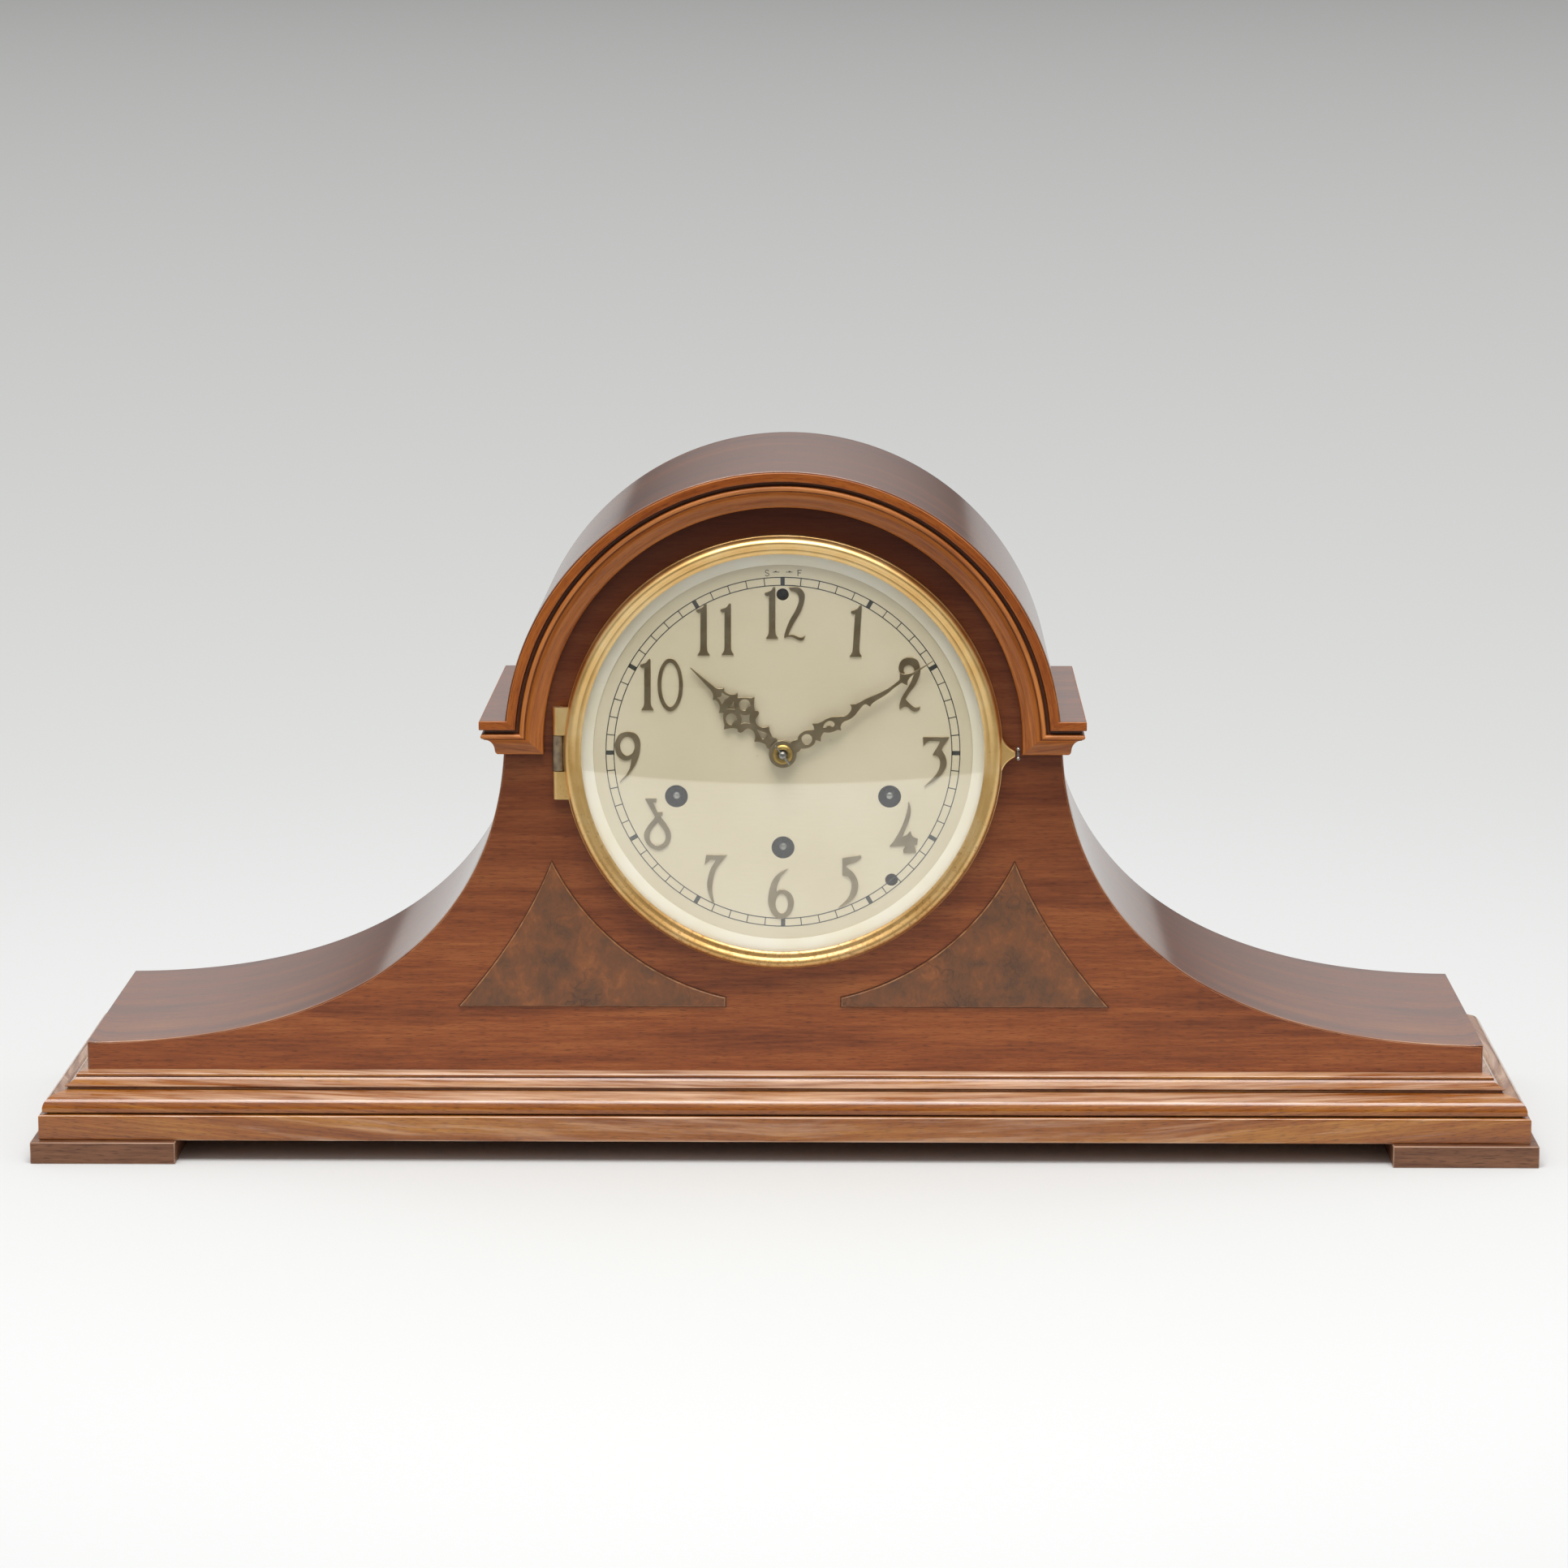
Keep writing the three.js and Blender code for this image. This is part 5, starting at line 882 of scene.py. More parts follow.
marks = []
for radius in (TRACK_OUTER, TRACK_INNER):
    marks.append(inked(circle(0, 0, radius + LINE / 2, 180), circle(0, 0, radius - LINE / 2, 180)))
for minute in range(60):
    angle = math.radians(6 * minute)
    ends = [(r * math.sin(angle), r * math.cos(angle)) for r in (TRACK_INNER - 0.1, TRACK_OUTER + 0.1)]
    marks.append(inked(stroke(ends, LINE if minute % 5 else BAR)))
LETTER_Z = 66.75
PEN = 0.26
ARROW = 0.2
slow_letter = arc((-5.75, LETTER_Z + 1.7), 0.65, 0.55, 20, 270, 8)
slow_letter += arc((-5.75, LETTER_Z + 0.6), 0.7, 0.55, 90, -160, 8)
fast_letter = [[(5.7, LETTER_Z), (5.7, LETTER_Z + 2.3)], [(5.7, LETTER_Z + 2.2), (7.1, LETTER_Z + 2.2)],
               [(5.7, LETTER_Z + 1.2), (6.8, LETTER_Z + 1.2)]]
for line in [slow_letter] + fast_letter:
    marks.append(inked(stroke(line, PEN)))
for side in (-1, 1):
    shaft = [(side * 1.2, LETTER_Z + 1.5), (side * 3.7, LETTER_Z + 1.5)]
    head = [(side * 2.0, LETTER_Z + 1.5), (side * 2.5, LETTER_Z + 2.0), (side * 3.4, LETTER_Z + 1.5)]
    marks += [inked(stroke(shaft, ARROW)), inked(head)]
track = piece("minute_track", joined(*marks), ink)
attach(track, "case")

# Numerals
# Twelve sets of arabic figures pressed from thin bronze and pinned to the dial.
# Their fronts are flat with rounded edges, so they show grey where they meet the light.
NUMERAL = 0.5
NUMERAL_EASE = 0.14
SPAN = 5  # steps between two points of a curve


def drawn(*runs):
    """An outline from runs of points: a run of three or more is a smooth curve, and runs meet
    in corners."""
    loop = []
    for run in runs:
        for i in range(len(run) - 1):
            before, start, end, after = (Vector(run[min(max(i + k, 0), len(run) - 1)]) for k in (-1, 0, 1, 2))
            steps = SPAN if len(run) > 2 else 1
            for s in range(steps):
                t = s / steps
                bend = (2 * start + (end - before) * t + (2 * before - 5 * start + 4 * end - after) * t**2
                        + (3 * start - before - 3 * end + after) * t**3)
                loop.append(tuple(bend / 2))
        loop.append(tuple(run[-1]))
    return loop


def oval(left, right, low, high):
    """An upright ellipse between four limits."""
    return arc(((left + right) / 2, (low + high) / 2), (right - left) / 2, (high - low) / 2, 0, 352.5, 47)


def one(x, z, lean=0.0):
    """The figure one on its foot, leaning at the top."""
    loop = drawn(
        [(-2.25, 0), (2.25, 0)], [(2.2, 0.45), (1.4, 1.7), (1.2, 3.5)], [(1.25, 19.2)], [(0.9, 19.5),
         (0.4, 19.3), (-0.5, 18.1), (-2.6, 17.4)], [(-2.75, 16.6)], [(-1.9, 16.0), (-1.15, 16.2)],
        [(-1.2, 3.5), (-1.4, 1.7), (-2.2, 0.45)],
    )
    return [(x + u + lean * v / 19.5, z + v) for u, v in loop]


two_of_twelve = drawn(
    [(2.2, 62.6), (5.7, 62.7), (7.85, 60.8), (8.2, 58.2), (6.9, 53.7), (4.5, 49.6), (2.8, 46.3),
     (2.2, 44.5)], [(2.5, 44.7), (3.9, 44.8), (6, 43.9), (7.4, 43.9), (8.4, 44.4)], [(7.85, 42.8),
     (6.3, 42.5), (3.65, 43.8), (2, 43.9), (0.6, 43.4)], [(0.6, 44.2), (1, 46), (2.5, 49.9), (4.8, 54),
     (6, 57.3), (5.7, 59.65), (4.5, 60.8), (3.1, 61.1)],
)
two = drawn(
    [(43.9, 30.2), (43.24, 32.3), (44.3, 35.2), (47.2, 36.4), (50.2, 35.2), (51.3, 32.3), (51.2, 29.8),
     (49.6, 25.9), (47.2, 22.7), (45.8, 20.3)], [(46.2, 20.1), (47.9, 18.4), (49.3, 17.4), (50.5, 17.5),
     (51.4, 17.7)], [(51, 16.4), (49.6, 15.7), (48.2, 16.1), (46.8, 17.3), (45.4, 17.5), (43.7, 16.5)],
    [(43.5, 17.7), (44.2, 20.6), (46.1, 23.8), (47.9, 27), (48.8, 29.5), (49.1, 31.4), (48.5, 32.8),
     (47, 33.4), (45.5, 32.7), (45.1, 31.4), (45.6, 30.4)], [(45.3, 29.6), (44.6, 29.6)],
)
three = drawn(
    [(52.4, 6.2), (62.3, 6.2)], [(61.5, 4.6), (59.8, 2.2), (59.5, 1.1)], [(60.6, -0.6), (61.3, -2.9),
     (61, -5.4), (59.6, -7.9), (57, -10.4), (53, -12.7)], [(55.6, -10.1), (57.4, -8), (58.5, -6),
     (58.9, -3.6), (58.4, -1.8), (57.3, -0.95), (56.1, -0.8)], [(56.4, 0), (58.7, 3.9)], [(58.7, 4.6),
     (54.9, 4.6)], [(53.6, 3.9), (52.6, 2.6)],
)
four = drawn(
    [(47.2, -18.3), (47.9, -20.8), (47.8, -23.6), (46.9, -26.8), (45.5, -30.2), (44.9, -32)],
    [(46.4, -31.2), (47.9, -29.7)], [(48.5, -31.6), (49.4, -32.2), (50.6, -32.6)], [(50.4, -34.9),
     (49, -35.3)], [(49.6, -36), (50, -38)], [(45.3, -38.2), (45.2, -37), (46, -35.7)], [(45.4, -35.4),
     (40, -35.6)], [(41.6, -33.6), (44.05, -29.3), (45.6, -25.5), (46.6, -22)],
)
five = drawn(
    [(22.3, -40.1), (25.6, -39.4), (29.1, -38.9)], [(29.5, -39.9), (27.6, -41.5), (24.4, -42.6),
     (23.6, -43.4)], [(24.5, -44.1), (26.6, -46), (28.1, -49.1), (28, -52.7), (26.3, -55.8), (23.5, -58),
     (20.7, -59.2)], [(23, -57.1), (24.8, -54.8), (25.7, -51.7), (25.6, -49.1), (24.4, -47.3),
     (22.3, -46.7)],
)
six = drawn(
    [(1.8, -44.2), (-1.8, -46.2), (-4.3, -49.6), (-5.6, -55.3), (-5.1, -59.4), (-3.3, -62.4), (-0.8, -63.5),
     (1.8, -62.4), (3.5, -59.9), (4.05, -56.8), (3.05, -54), (0.8, -52.4), (-1.3, -52.3), (-2.4, -53.1)],
    [(-2.5, -52), (-2.0, -49.9), (-0.6, -46.9)],
)
seven = drawn(
    [(-28.9, -38.9), (-21, -38.9)], [(-22.3, -40.65), (-25.05, -44.3), (-26.3, -48.6), (-26.7, -52.7),
     (-26, -57)], [(-26.4, -57.7), (-27.3, -55.8), (-28.3, -52.7), (-28.5, -49.1), (-27.3, -44.5),
     (-25.2, -41)], [(-27.1, -40.8), (-28.6, -41.8), (-29.45, -42.8)],
)
eight = drawn(
    [(-51.8, -17.4), (-47.4, -17.4)], [(-47.5, -19), (-48.7, -18.9)], [(-47.1, -22.6)], [(-46.3, -22.5),
     (-45.1, -22.5)], [(-45.2, -23.7), (-45.9, -24.4), (-44.3, -26.5), (-42.6, -29.4), (-42.06, -32),
     (-43.05, -35), (-45.2, -36.8), (-47.4, -37.1), (-50.2, -35.8), (-51.9, -33.2), (-52.1, -30.6),
     (-50.8, -28.1), (-49, -25.8), (-48, -24.5)],
)
eight_eye = drawn(
    [(-46.95, -26.6), (-44.7, -29.7), (-44.05, -31.9), (-44.6, -34), (-46.2, -35.2), (-47.7, -35.3),
     (-49.3, -34.4), (-50.15, -32.5), (-49.8, -30.3), (-48.7, -28.4)],
)
nine = drawn(
    [(-61.1, -11), (-58.3, -8.8), (-55.7, -5.3), (-54.1, -1.8), (-53.4, 1.6), (-53.5, 4.6), (-55, 7.2),
     (-58.1, 8.1), (-61.2, 7), (-62.8, 4), (-62.9, 1.6), (-62, -1.2), (-59.9, -2.8), (-58, -2.9),
     (-56.7, -2.3)], [(-57.4, -6), (-58.9, -8.6)],
)
numerals = [
    [one(27.2, 36.4, 1.1)], [two], [three], [four], [five], [six, oval(-2.9, 1.87, -61.4, -53.8)], [seven],
    [eight, eight_eye], [nine, oval(-60.94, -55.5, -1.07, 6.04)],
    [one(-50.6, 16.1)], [oval(-46.8, -37.3, 15.7, 35.8), oval(-45.35, -38.75, 17.5, 34.1)],
    [one(-29.5, 36.85)], [one(-20.5, 37.0)], [one(-3.95, 43.2)], [two_of_twelve],
]

# Figure bronze: pressed sheet with a brown patina, satin, a little lighter on the rounded edge
PATINA_STOPS = [(0.3, "#a29172"), (0.5, "#ab9b7d"), (0.7, "#b4a588")]
figure_bronze = mottled("patinated_bronze", 5, 4, PATINA_STOPS, 0.95, (0.26, 0.36))


def figure(loops):
    """One pressed figure on the dial."""
    return plate(on_dial(loops), DIAL_FRONT - NUMERAL, DIAL_FRONT, NUMERAL_EASE, 3)


figures = piece("numerals", joined(*(figure(loops) for loops in numerals)), figure_bronze)
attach(figures, "case")

# Hands
# Pierced from thin bronze sheet: a symmetrical hour hand of scrolls and barbs, and a longer
# minute hand with a waved shaft. Both sit on pipes of the motion work.
HAND = 0.8
HAND_EASE = 0.16
HUB = 5.2
HOUR_BORE = 3.6
MINUTE_BORE = 2.6
HOUR_FRONT = limits("hour_hand")[0].y
MINUTE_FRONT = limits("minute_hand")[0].y
HOUR_ANGLE = math.radians(-46.8)
MINUTE_ANGLE = math.radians(57.8)

# Along the hand and across it, from the hub to the tip
HOUR_EDGE = [
    [(4.8, 2.2), (5.6, 2.5), (6.3, 2.4)], [(7.05, 1.95), (8.2, 2.3), (9.6, 3.0)], [(10.9, 4.1)],
    [(11.5, 2.9), (12.3, 2.1), (13.5, 1.55), (14.7, 1.5), (15.6, 1.8), (16.3, 2.7), (16.45, 3.6)],
    [(16.5, 4.3), (17.0, 5.2), (18.0, 5.4), (18.7, 4.9)], [(19.4, 5.2), (20.8, 6.5), (22.3, 8.45)],
    [(23.2, 7.1), (24.6, 6.2), (25.7, 5.1), (26.6, 3.9)], [(27.1, 4.3), (27.9, 5.3)], [(28.6, 3.9),
     (29.7, 2.9), (31.2, 2.4), (32.2, 2.45)], [(32.95, 3.2)], [(33.8, 1.9), (35, 1.2), (36.3, 0.95)],
    [(47.3, 0.12)],
]
HOUR_HOLES = [
    drawn([(32.4, 1.3), (31.6, 0), (32.4, -1.3)], [(30.9, -1.45), (29.2, -2.1)], [(29.7, 0), (29.2, 2.1)],
          [(30.9, 1.45)]),
    drawn([(26.9, 1.9), (26.5, 0), (26.9, -1.9)], [(25.5, -0.7), (24.4, 0)], [(25.5, 0.7)]),
    drawn([(21.6, 0), (20.1, 1), (19.1, 2.45)], [(18.1, 1), (16.7, 0)], [(18.1, -1), (19.1, -2.45)],
          [(20.1, -1)]),
    drawn([(13.1, 0), (11.4, 0.75), (9.9, 1.25), (9.0, 0.8), (8.8, 0), (9.0, -0.8), (9.9, -1.25),
           (11.4, -0.75)]),
]
HOUR_EYE = (22.95, 3.7)
EYE = 2.1
LOBE = 3.2  # a low swelling that closes the eye on the side of the hub
LOBE_BACK = 4.5


def turned_to(loop, angle):
    """A loop drawn along a hand, laid at its angle from twelve."""
    ahead = (math.sin(angle), math.cos(angle))
    return [(u * ahead[0] + v * ahead[1], DIAL_Z + u * ahead[1] - v * ahead[0]) for u, v in loop]


def hub_arc(start, end):
    """Round the back of the hub from one edge of the hand to the other."""
    first = math.degrees(math.atan2(start[1], start[0]))
    last = math.degrees(math.atan2(end[1], end[0])) % 360
    return arc((0, 0), HUB, HUB, first, last, 40)


def pierced(loops, angle, front):
    """A hand of thin sheet at its angle from twelve."""
    return plate([turned_to(loop, angle) for loop in loops], front, front + HAND, HAND_EASE, 3)


right = drawn(*HOUR_EDGE)
left = [(u, -v) for u, v in right]
hour_loop = right[::-1] + hub_arc(right[0], left[0])[1:-1] + left
lobe = arc((HOUR_EYE[0] - LOBE_BACK, HOUR_EYE[1]), LOBE, LOBE, 24, -24, 6)
eye = arc(HOUR_EYE, EYE, EYE, -140, 140, 36) + lobe
hour_loops = [hour_loop, circle(0, 0, HOUR_BORE, 36)] + HOUR_HOLES + [eye, [(u, -v) for u, v in eye]]
hour = piece("hour_hand_pierced", pierced(hour_loops, HOUR_ANGLE, HOUR_FRONT), figure_bronze)
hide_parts("hour_hand")
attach(hour, "hour_work")

MINUTE_LOWER = [
    [(4.7, 2.2), (5.6, 2.35), (6.4, 2.2)], [(6.9, 1.75), (7.5, 2.2), (8.9, 2.9), (11, 3.2), (12.6, 2.7),
     (13.3, 1.95)], [(13.8, 2.5), (14.6, 3.6)], [(15.4, 2.3), (16.9, 1.35), (17.7, 1.25)], [(18.4, 1.9),
     (19.6, 2.55), (21.2, 2.95), (22.3, 3.1)], [(23.4, 4.0)], [(23.9, 2.7), (25, 1.95), (26.2, 1.75),
     (27.7, 2.05), (29.3, 2.15), (31, 1.85), (32.6, 1.2), (34.1, 0.65), (35.5, 0.35), (36.5, 0.55)],
    [(37.3, 2.25)], [(38.2, 1.6), (40.4, 1.4), (43, 1.45), (46.1, 1.3), (49, 0.85), (52, 0.75)],
    [(53.3, 2.75)], [(54.2, 1.5), (55.6, 0.75), (57.5, 0.4)], [(66.4, 0.14)],
]
MINUTE_UPPER = [
    [(66.4, -0.14)], [(57.5, -0.4), (55.4, -1.1), (54.3, -1.8)], [(53.5, -3.0)], [(52, -0.75), (49, -0.3),
     (46.1, -0.2), (43, -0.5), (39.5, -1.05), (37.4, -1.3), (35.4, -1.4), (33.2, -1.65)], [(31.3, -2.65)],
    [(31.3, -1.6), (30.6, -0.6), (29.4, -0.1), (28, 0.1), (26.3, -0.6), (24.5, -1.6), (23, -2.3),
     (21.5, -2.65), (20.3, -2.75), (19.1, -2.7)], [(17.4, -3.1), (15.5, -4.0)], [(15.4, -2.8),
     (14.9, -1.8)], [(13.9, -2.3), (12.5, -3.05), (10.9, -3.25), (9.1, -2.9), (7.6, -1.75)], [(6.8, -2.1),
     (5.7, -2.35), (4.7, -2.2)],
]
MINUTE_EYE = (10.7, 0, 1.95)
crescent = drawn(
    [(18.2, -0.6), (19.6, -1.5), (21.3, -1.5), (22.4, -0.6), (22.55, 0.6), (21.8, 1.25)], [(21.1, 1.1),
     (20.9, 0.2), (20, -0.25), (19, -0.1)],
)
lower = drawn(*MINUTE_LOWER)
upper = drawn(*MINUTE_UPPER)
minute_loop = lower + upper + hub_arc(lower[0], upper[-1])[::-1][1:-1]
minute_loops = [minute_loop, circle(0, 0, MINUTE_BORE, 36), circle(*MINUTE_EYE, 36), crescent]
minute = piece("minute_hand_pierced", pierced(minute_loops, MINUTE_ANGLE, MINUTE_FRONT), figure_bronze)
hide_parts("minute_hand")
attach(minute, "minute_work")

# Collet, center arbor and taper pin
# A dished brass collet holds the minute hand down, and a steel pin driven through the end of
# the center arbor holds the collet.
(_, WASHER_FRONT, _), (WASHER, WASHER_BACK, _) = limits("hand_washer")
(_, ARBOR_TIP, _), (ARBOR, ARBOR_END, _) = limits("center_arbor")
PIN_Y = sum(corner.y for corner in limits("taper_pin")) / 2
PIN_LENGTH = 9.0
PIN_LIE = math.radians(-52)


def lathe(profile, x, z, sides=96):
    """A turned form about a line along y; the profile is radius and depth, with an edge mark if any."""
    rings = []
    for i in range(sides):
        turn = 2 * math.pi * i / sides
        rings.append([(x + p[0] * math.cos(turn), p[1], z + p[0] * math.sin(turn), *p[2:]) for p in profile])
    return loft(rings, closed=True)


collet_profile = eased([
    (ARBOR + 0.35, WASHER_BACK), (WASHER, WASHER_BACK), (WASHER, WASHER_BACK - 0.45),
    (WASHER - 0.7, WASHER_FRONT), (WASHER - 1.35, WASHER_FRONT + 0.15), (ARBOR + 0.35, WASHER_FRONT + 0.4),
], 0.2)
collet = piece("collet", lathe(collet_profile, 0, DIAL_Z), plate_brass)
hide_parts("hand_washer")
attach(collet, "minute_work")

arbor_profile = [(0, ARBOR_TIP), (ARBOR * 0.55, ARBOR_TIP + 0.1), (ARBOR * 0.85, ARBOR_TIP + 0.35),
                 (ARBOR, ARBOR_TIP + 0.8), (ARBOR, ARBOR_END), (0, ARBOR_END)]
arbor = piece("arbor_pinned", lathe(arbor_profile, 0, DIAL_Z, 48), bright_steel)
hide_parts("center_arbor")
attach(arbor, "minute_work")


def rod(start, end, radii, sides=20):
    """A round rod with its radii spaced along it."""
    way = (Vector(end) - Vector(start)).normalized()
    beside = way.orthogonal().normalized()
    third = way.cross(beside)
    rings = []
    for share, radius in radii:
        middle = Vector(start).lerp(Vector(end), share)
        turns = [2 * math.pi * k / sides for k in range(sides)]
        rings.append([tuple(middle + (beside * math.cos(t) + third * math.sin(t)) * radius) for t in turns])
    return loft(rings)


reach = (math.cos(PIN_LIE) * PIN_LENGTH / 2, math.sin(PIN_LIE) * PIN_LENGTH / 2)
pin_form = rod((-reach[0], PIN_Y, DIAL_Z - reach[1]), (reach[0], PIN_Y, DIAL_Z + reach[1]),
               [(0, 0.2), (0.02, 0.3), (0.96, 0.48), (0.99, 0.42), (1, 0.25)])
pin = piece("pin_tapered", pin_form, bright_steel)
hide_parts("taper_pin")
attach(pin, "minute_work")

# Winding arbor ends
# The three winding squares stop short of the dial, each with its end turned to a low dome.
# The key has rubbed the dome bright, and it shows as a spot of light in the dark hole.
DOME = [(0, -0.55), (0.5, -0.5), (0.95, -0.36), (1.25, -0.18), (1.45, 0.05), (1.45, 0.3), (0, 0.3)]
for train, (x, z) in zip(TRAINS, KEY_PLACES):
    end_y = limits(train + "_winding_arbor")[0].y
    profile = [(radius, end_y + depth) for radius, depth in DOME]
    dome_end = piece(train + "_arbor_end", lathe(profile, x, DIAL_Z + z, 36), bright_steel)
    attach(dome_end, train + "_winder")

# Bezel
# A ring spun from sheet brass and gilt, with a rolled outer bead and a smaller inner one. Two
# flat knuckles hang it at the left, and a flared lug at the right lifts it.
BEZEL_RADIUS = limits("bezel_ring")[1].z - DIAL_Z
BEZEL_WIDTH = 6.5
BEZEL_INNER = BEZEL_RADIUS - BEZEL_WIDTH
GLASS_SEAT = limits("bezel_glass")[1].x
GLASS_EDGE = -4.6
GLASS = 1.8
RIM = -0.3
RING_RADIUS = BEZEL_RADIUS + 0.3

# Gilt brass: warm gold with soft spinning lines; the gilding is speckled through to dark red
# brown low down, where hands and damp have reached it
gilt, tree = finish("gilt_spun_brass")
place = add(tree, "TexCoord", out="Object")
high = add(tree, "SeparateXYZ", {0: place}, out="Z")
low_down = add(tree, "MapRange", {"Value": high, "From Min": (DIAL_Z + 30) * MM,
                                  "From Max": (DIAL_Z - 75) * MM, "To Min": 0.02, "To Max": 0.21})
spots = add(tree, "TexNoise", {"Vector": place, "Scale": 1 / (1.6 * MM), "Detail": 5, "Roughness": 0.7})
bias = add(tree, "Math", {0: spots, 1: low_down}, operation="ADD")
worn_gilt = add(tree, "MapRange", {"Value": bias, "From Min": 0.7, "From Max": 0.84, "To Max": 0.6})
cloud = add(tree, "TexNoise", {"Vector": place, "Scale": 1 / (14 * MM), "Detail": 4})
gold = add(tree, "ValToRGB", {"Fac": cloud}, stops=[(0.3, "#e6b86e"), (0.5, "#f0c984"), (0.7, "#f7d89c")])
# The gold turns duller and darker towards the bottom
toward_bottom = add(tree, "MapRange", {"Value": high, "From Min": (DIAL_Z - 10) * MM,
                                 "From Max": (DIAL_Z - 75) * MM, "To Max": 0.5})
dulled = add(tree, "Mix", {0: toward_bottom, 6: gold, 7: linear("#b98444")}, out=2, data_type="RGBA")
shade = add(tree, "Mix", {0: worn_gilt, 6: dulled, 7: linear("#9a6f3a")}, out=2, data_type="RGBA")
rough_cloud = add(tree, "MapRange", {"Value": cloud, "To Min": 0.34, "To Max": 0.5})
rough = add(tree, "MapRange", {"Value": worn_gilt, "To Max": 0.25})
roughness = add(tree, "Math", {0: rough_cloud, 1: rough}, operation="ADD")
pits = add(tree, "Bump", {"Height": worn_gilt, "Strength": 0.12, "Distance": 0.1 * MM}, invert=True)
shader = add(tree, "BsdfPrincipled", {"Base Color": shade, "Metallic": 1, "Roughness": roughness,
                                      "Normal": pits, "Coat Weight": 0.7, "Coat Roughness": 0.12})
add(tree, "OutputMaterial", {"Surface": shader})

rim_face = [(DIAL_RADIUS + 0.6, RIM), (RING_RADIUS, RIM), (RING_RADIUS, -3.6)]
face = drawn([(RING_RADIUS + r, y) for r, y in (
    (-0.2, -3.8), (-0.45, -5.0), (-1.1, -6.4), (-2.2, -7.2), (-3.3, -7.1), (-4.2, -6.55), (-4.7, -6.25),
    (-5.3, -6.2), (-6.1, -6.0), (-6.75, -5.5))])
seat = [(BEZEL_INNER, GLASS_EDGE - 0.3), (GLASS_SEAT + 0.3, GLASS_EDGE - 0.3),
        (GLASS_SEAT + 0.3, GLASS_EDGE + GLASS), (DIAL_RADIUS + 0.6, GLASS_EDGE + GLASS)]
ring_form = lathe(rim_face + face + seat, 0, DIAL_Z, 192)

HINGE_OUT = 2.2
HINGE_X = -(BEZEL_RADIUS + HINGE_OUT)
HINGE_Y = -2.3
KNUCKLE = 2.0
HINGE_HALF = 17.5
HINGE_MIDDLE = 6.6
HINGE_GAP = 0.3
HANGER_LAP = 3.2  # on to the ring


def hanger(side):
    """A knuckle above or below the middle one, rolled from a strip that runs on to the ring."""
    roll = arc((HINGE_X, HINGE_Y), KNUCKLE, KNUCKLE, -90, -360, 22)
    reach = -BEZEL_RADIUS + HANGER_LAP
    strip = [(reach, HINGE_Y), (reach, HINGE_Y - KNUCKLE), (HINGE_X + 0.4, HINGE_Y - KNUCKLE)]
    ends = [DIAL_Z + side * (HINGE_MIDDLE + HINGE_GAP), DIAL_Z + side * HINGE_HALF]
    return loft([[(x, y, z) for x, y in strip + roll] for z in ends])


LUG_ROOT = 9.0
LUG_TIP = 1.0
LUG_REACH = 5.0
LUG_FRONT = -4.3
LUG_BACK = -2.3
LUG_EASE = 0.5
lug_curve = drawn([(-2.6, LUG_ROOT + 1.5), (-1.2, LUG_ROOT), (0.9, 4.6), (2.6, 2.6), (4.2, 1.5),
                   (LUG_REACH, LUG_TIP)])
lug_loop = [(BEZEL_RADIUS + u, DIAL_Z + v) for u, v in lug_curve]
lug_loop += [(BEZEL_RADIUS + u, DIAL_Z - v) for u, v in lug_curve[::-1]]
lug = plate([lug_loop], LUG_FRONT, LUG_BACK, LUG_EASE, 3)
bezel = piece("bezel_gilt", joined(ring_form, hanger(-1), hanger(1), lug), gilt)
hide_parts("bezel_ring")
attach(bezel, "bezel")

# Bezel glass
# A disc of sagged window glass, held behind the lip of the bezel. Clear, faintly green at
# the edge, and domed so that it gathers the table in its lower half.
GLASS_CROWN = 9.0
GLASS_STEPS = 24
GLASS_TINT = "#fdfdfb"


def dome(offset):
    """Half of the glass's section, from the middle to the edge."""
    shares = [i / GLASS_STEPS for i in range(GLASS_STEPS + 1)]
    return [(GLASS_SEAT * s, GLASS_EDGE - GLASS_CROWN * (1 - s * s) + offset) for s in shares]


# Window glass: clear, with slow ripples in what it mirrors
window, tree = finish("sagged_window_glass")
path = add(tree, "LightPath").node
through = add(tree, "Math", {0: path.outputs["Is Shadow Ray"], 1: path.outputs["Is Diffuse Ray"]},
              operation="MAXIMUM")
clear = add(tree, "BsdfTransparent", {"Color": linear(GLASS_TINT)})
waves = add(tree, "TexNoise", {"Vector": add(tree, "TexCoord", out="Object"), "Scale": 1 / (40 * MM),
                               "Detail": 1})
ripple = add(tree, "Bump", {"Height": waves, "Strength": 0.02, "Distance": MM})
pane = add(tree, "BsdfPrincipled", {"Base Color": linear(GLASS_TINT), "Roughness": 0.0, "IOR": 1.52,
                                    "Transmission Weight": 1, "Coat Weight": 1.0, "Coat Roughness": 0.0,
                                    "Normal": ripple})
mixed = add(tree, "MixShader", {0: through, 1: pane, 2: clear})
add(tree, "OutputMaterial", {"Surface": mixed})
glass = piece("glass_domed", lathe(dome(0) + dome(GLASS)[::-1], 0, DIAL_Z, 144), window)
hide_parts("bezel_glass")
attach(glass, "bezel")

# Sight ring
# A dished ring of silvered sheet behind the glass, which hides the edge of the dial.
# It has kept more of its pale cream than the dial has.
SIGHT_FRONT, SIGHT_BACK = (corner.y for corner in limits("sight_ring"))
SIGHT_WIDTH = 4.5
SIGHT_INNER = BEZEL_INNER - SIGHT_WIDTH

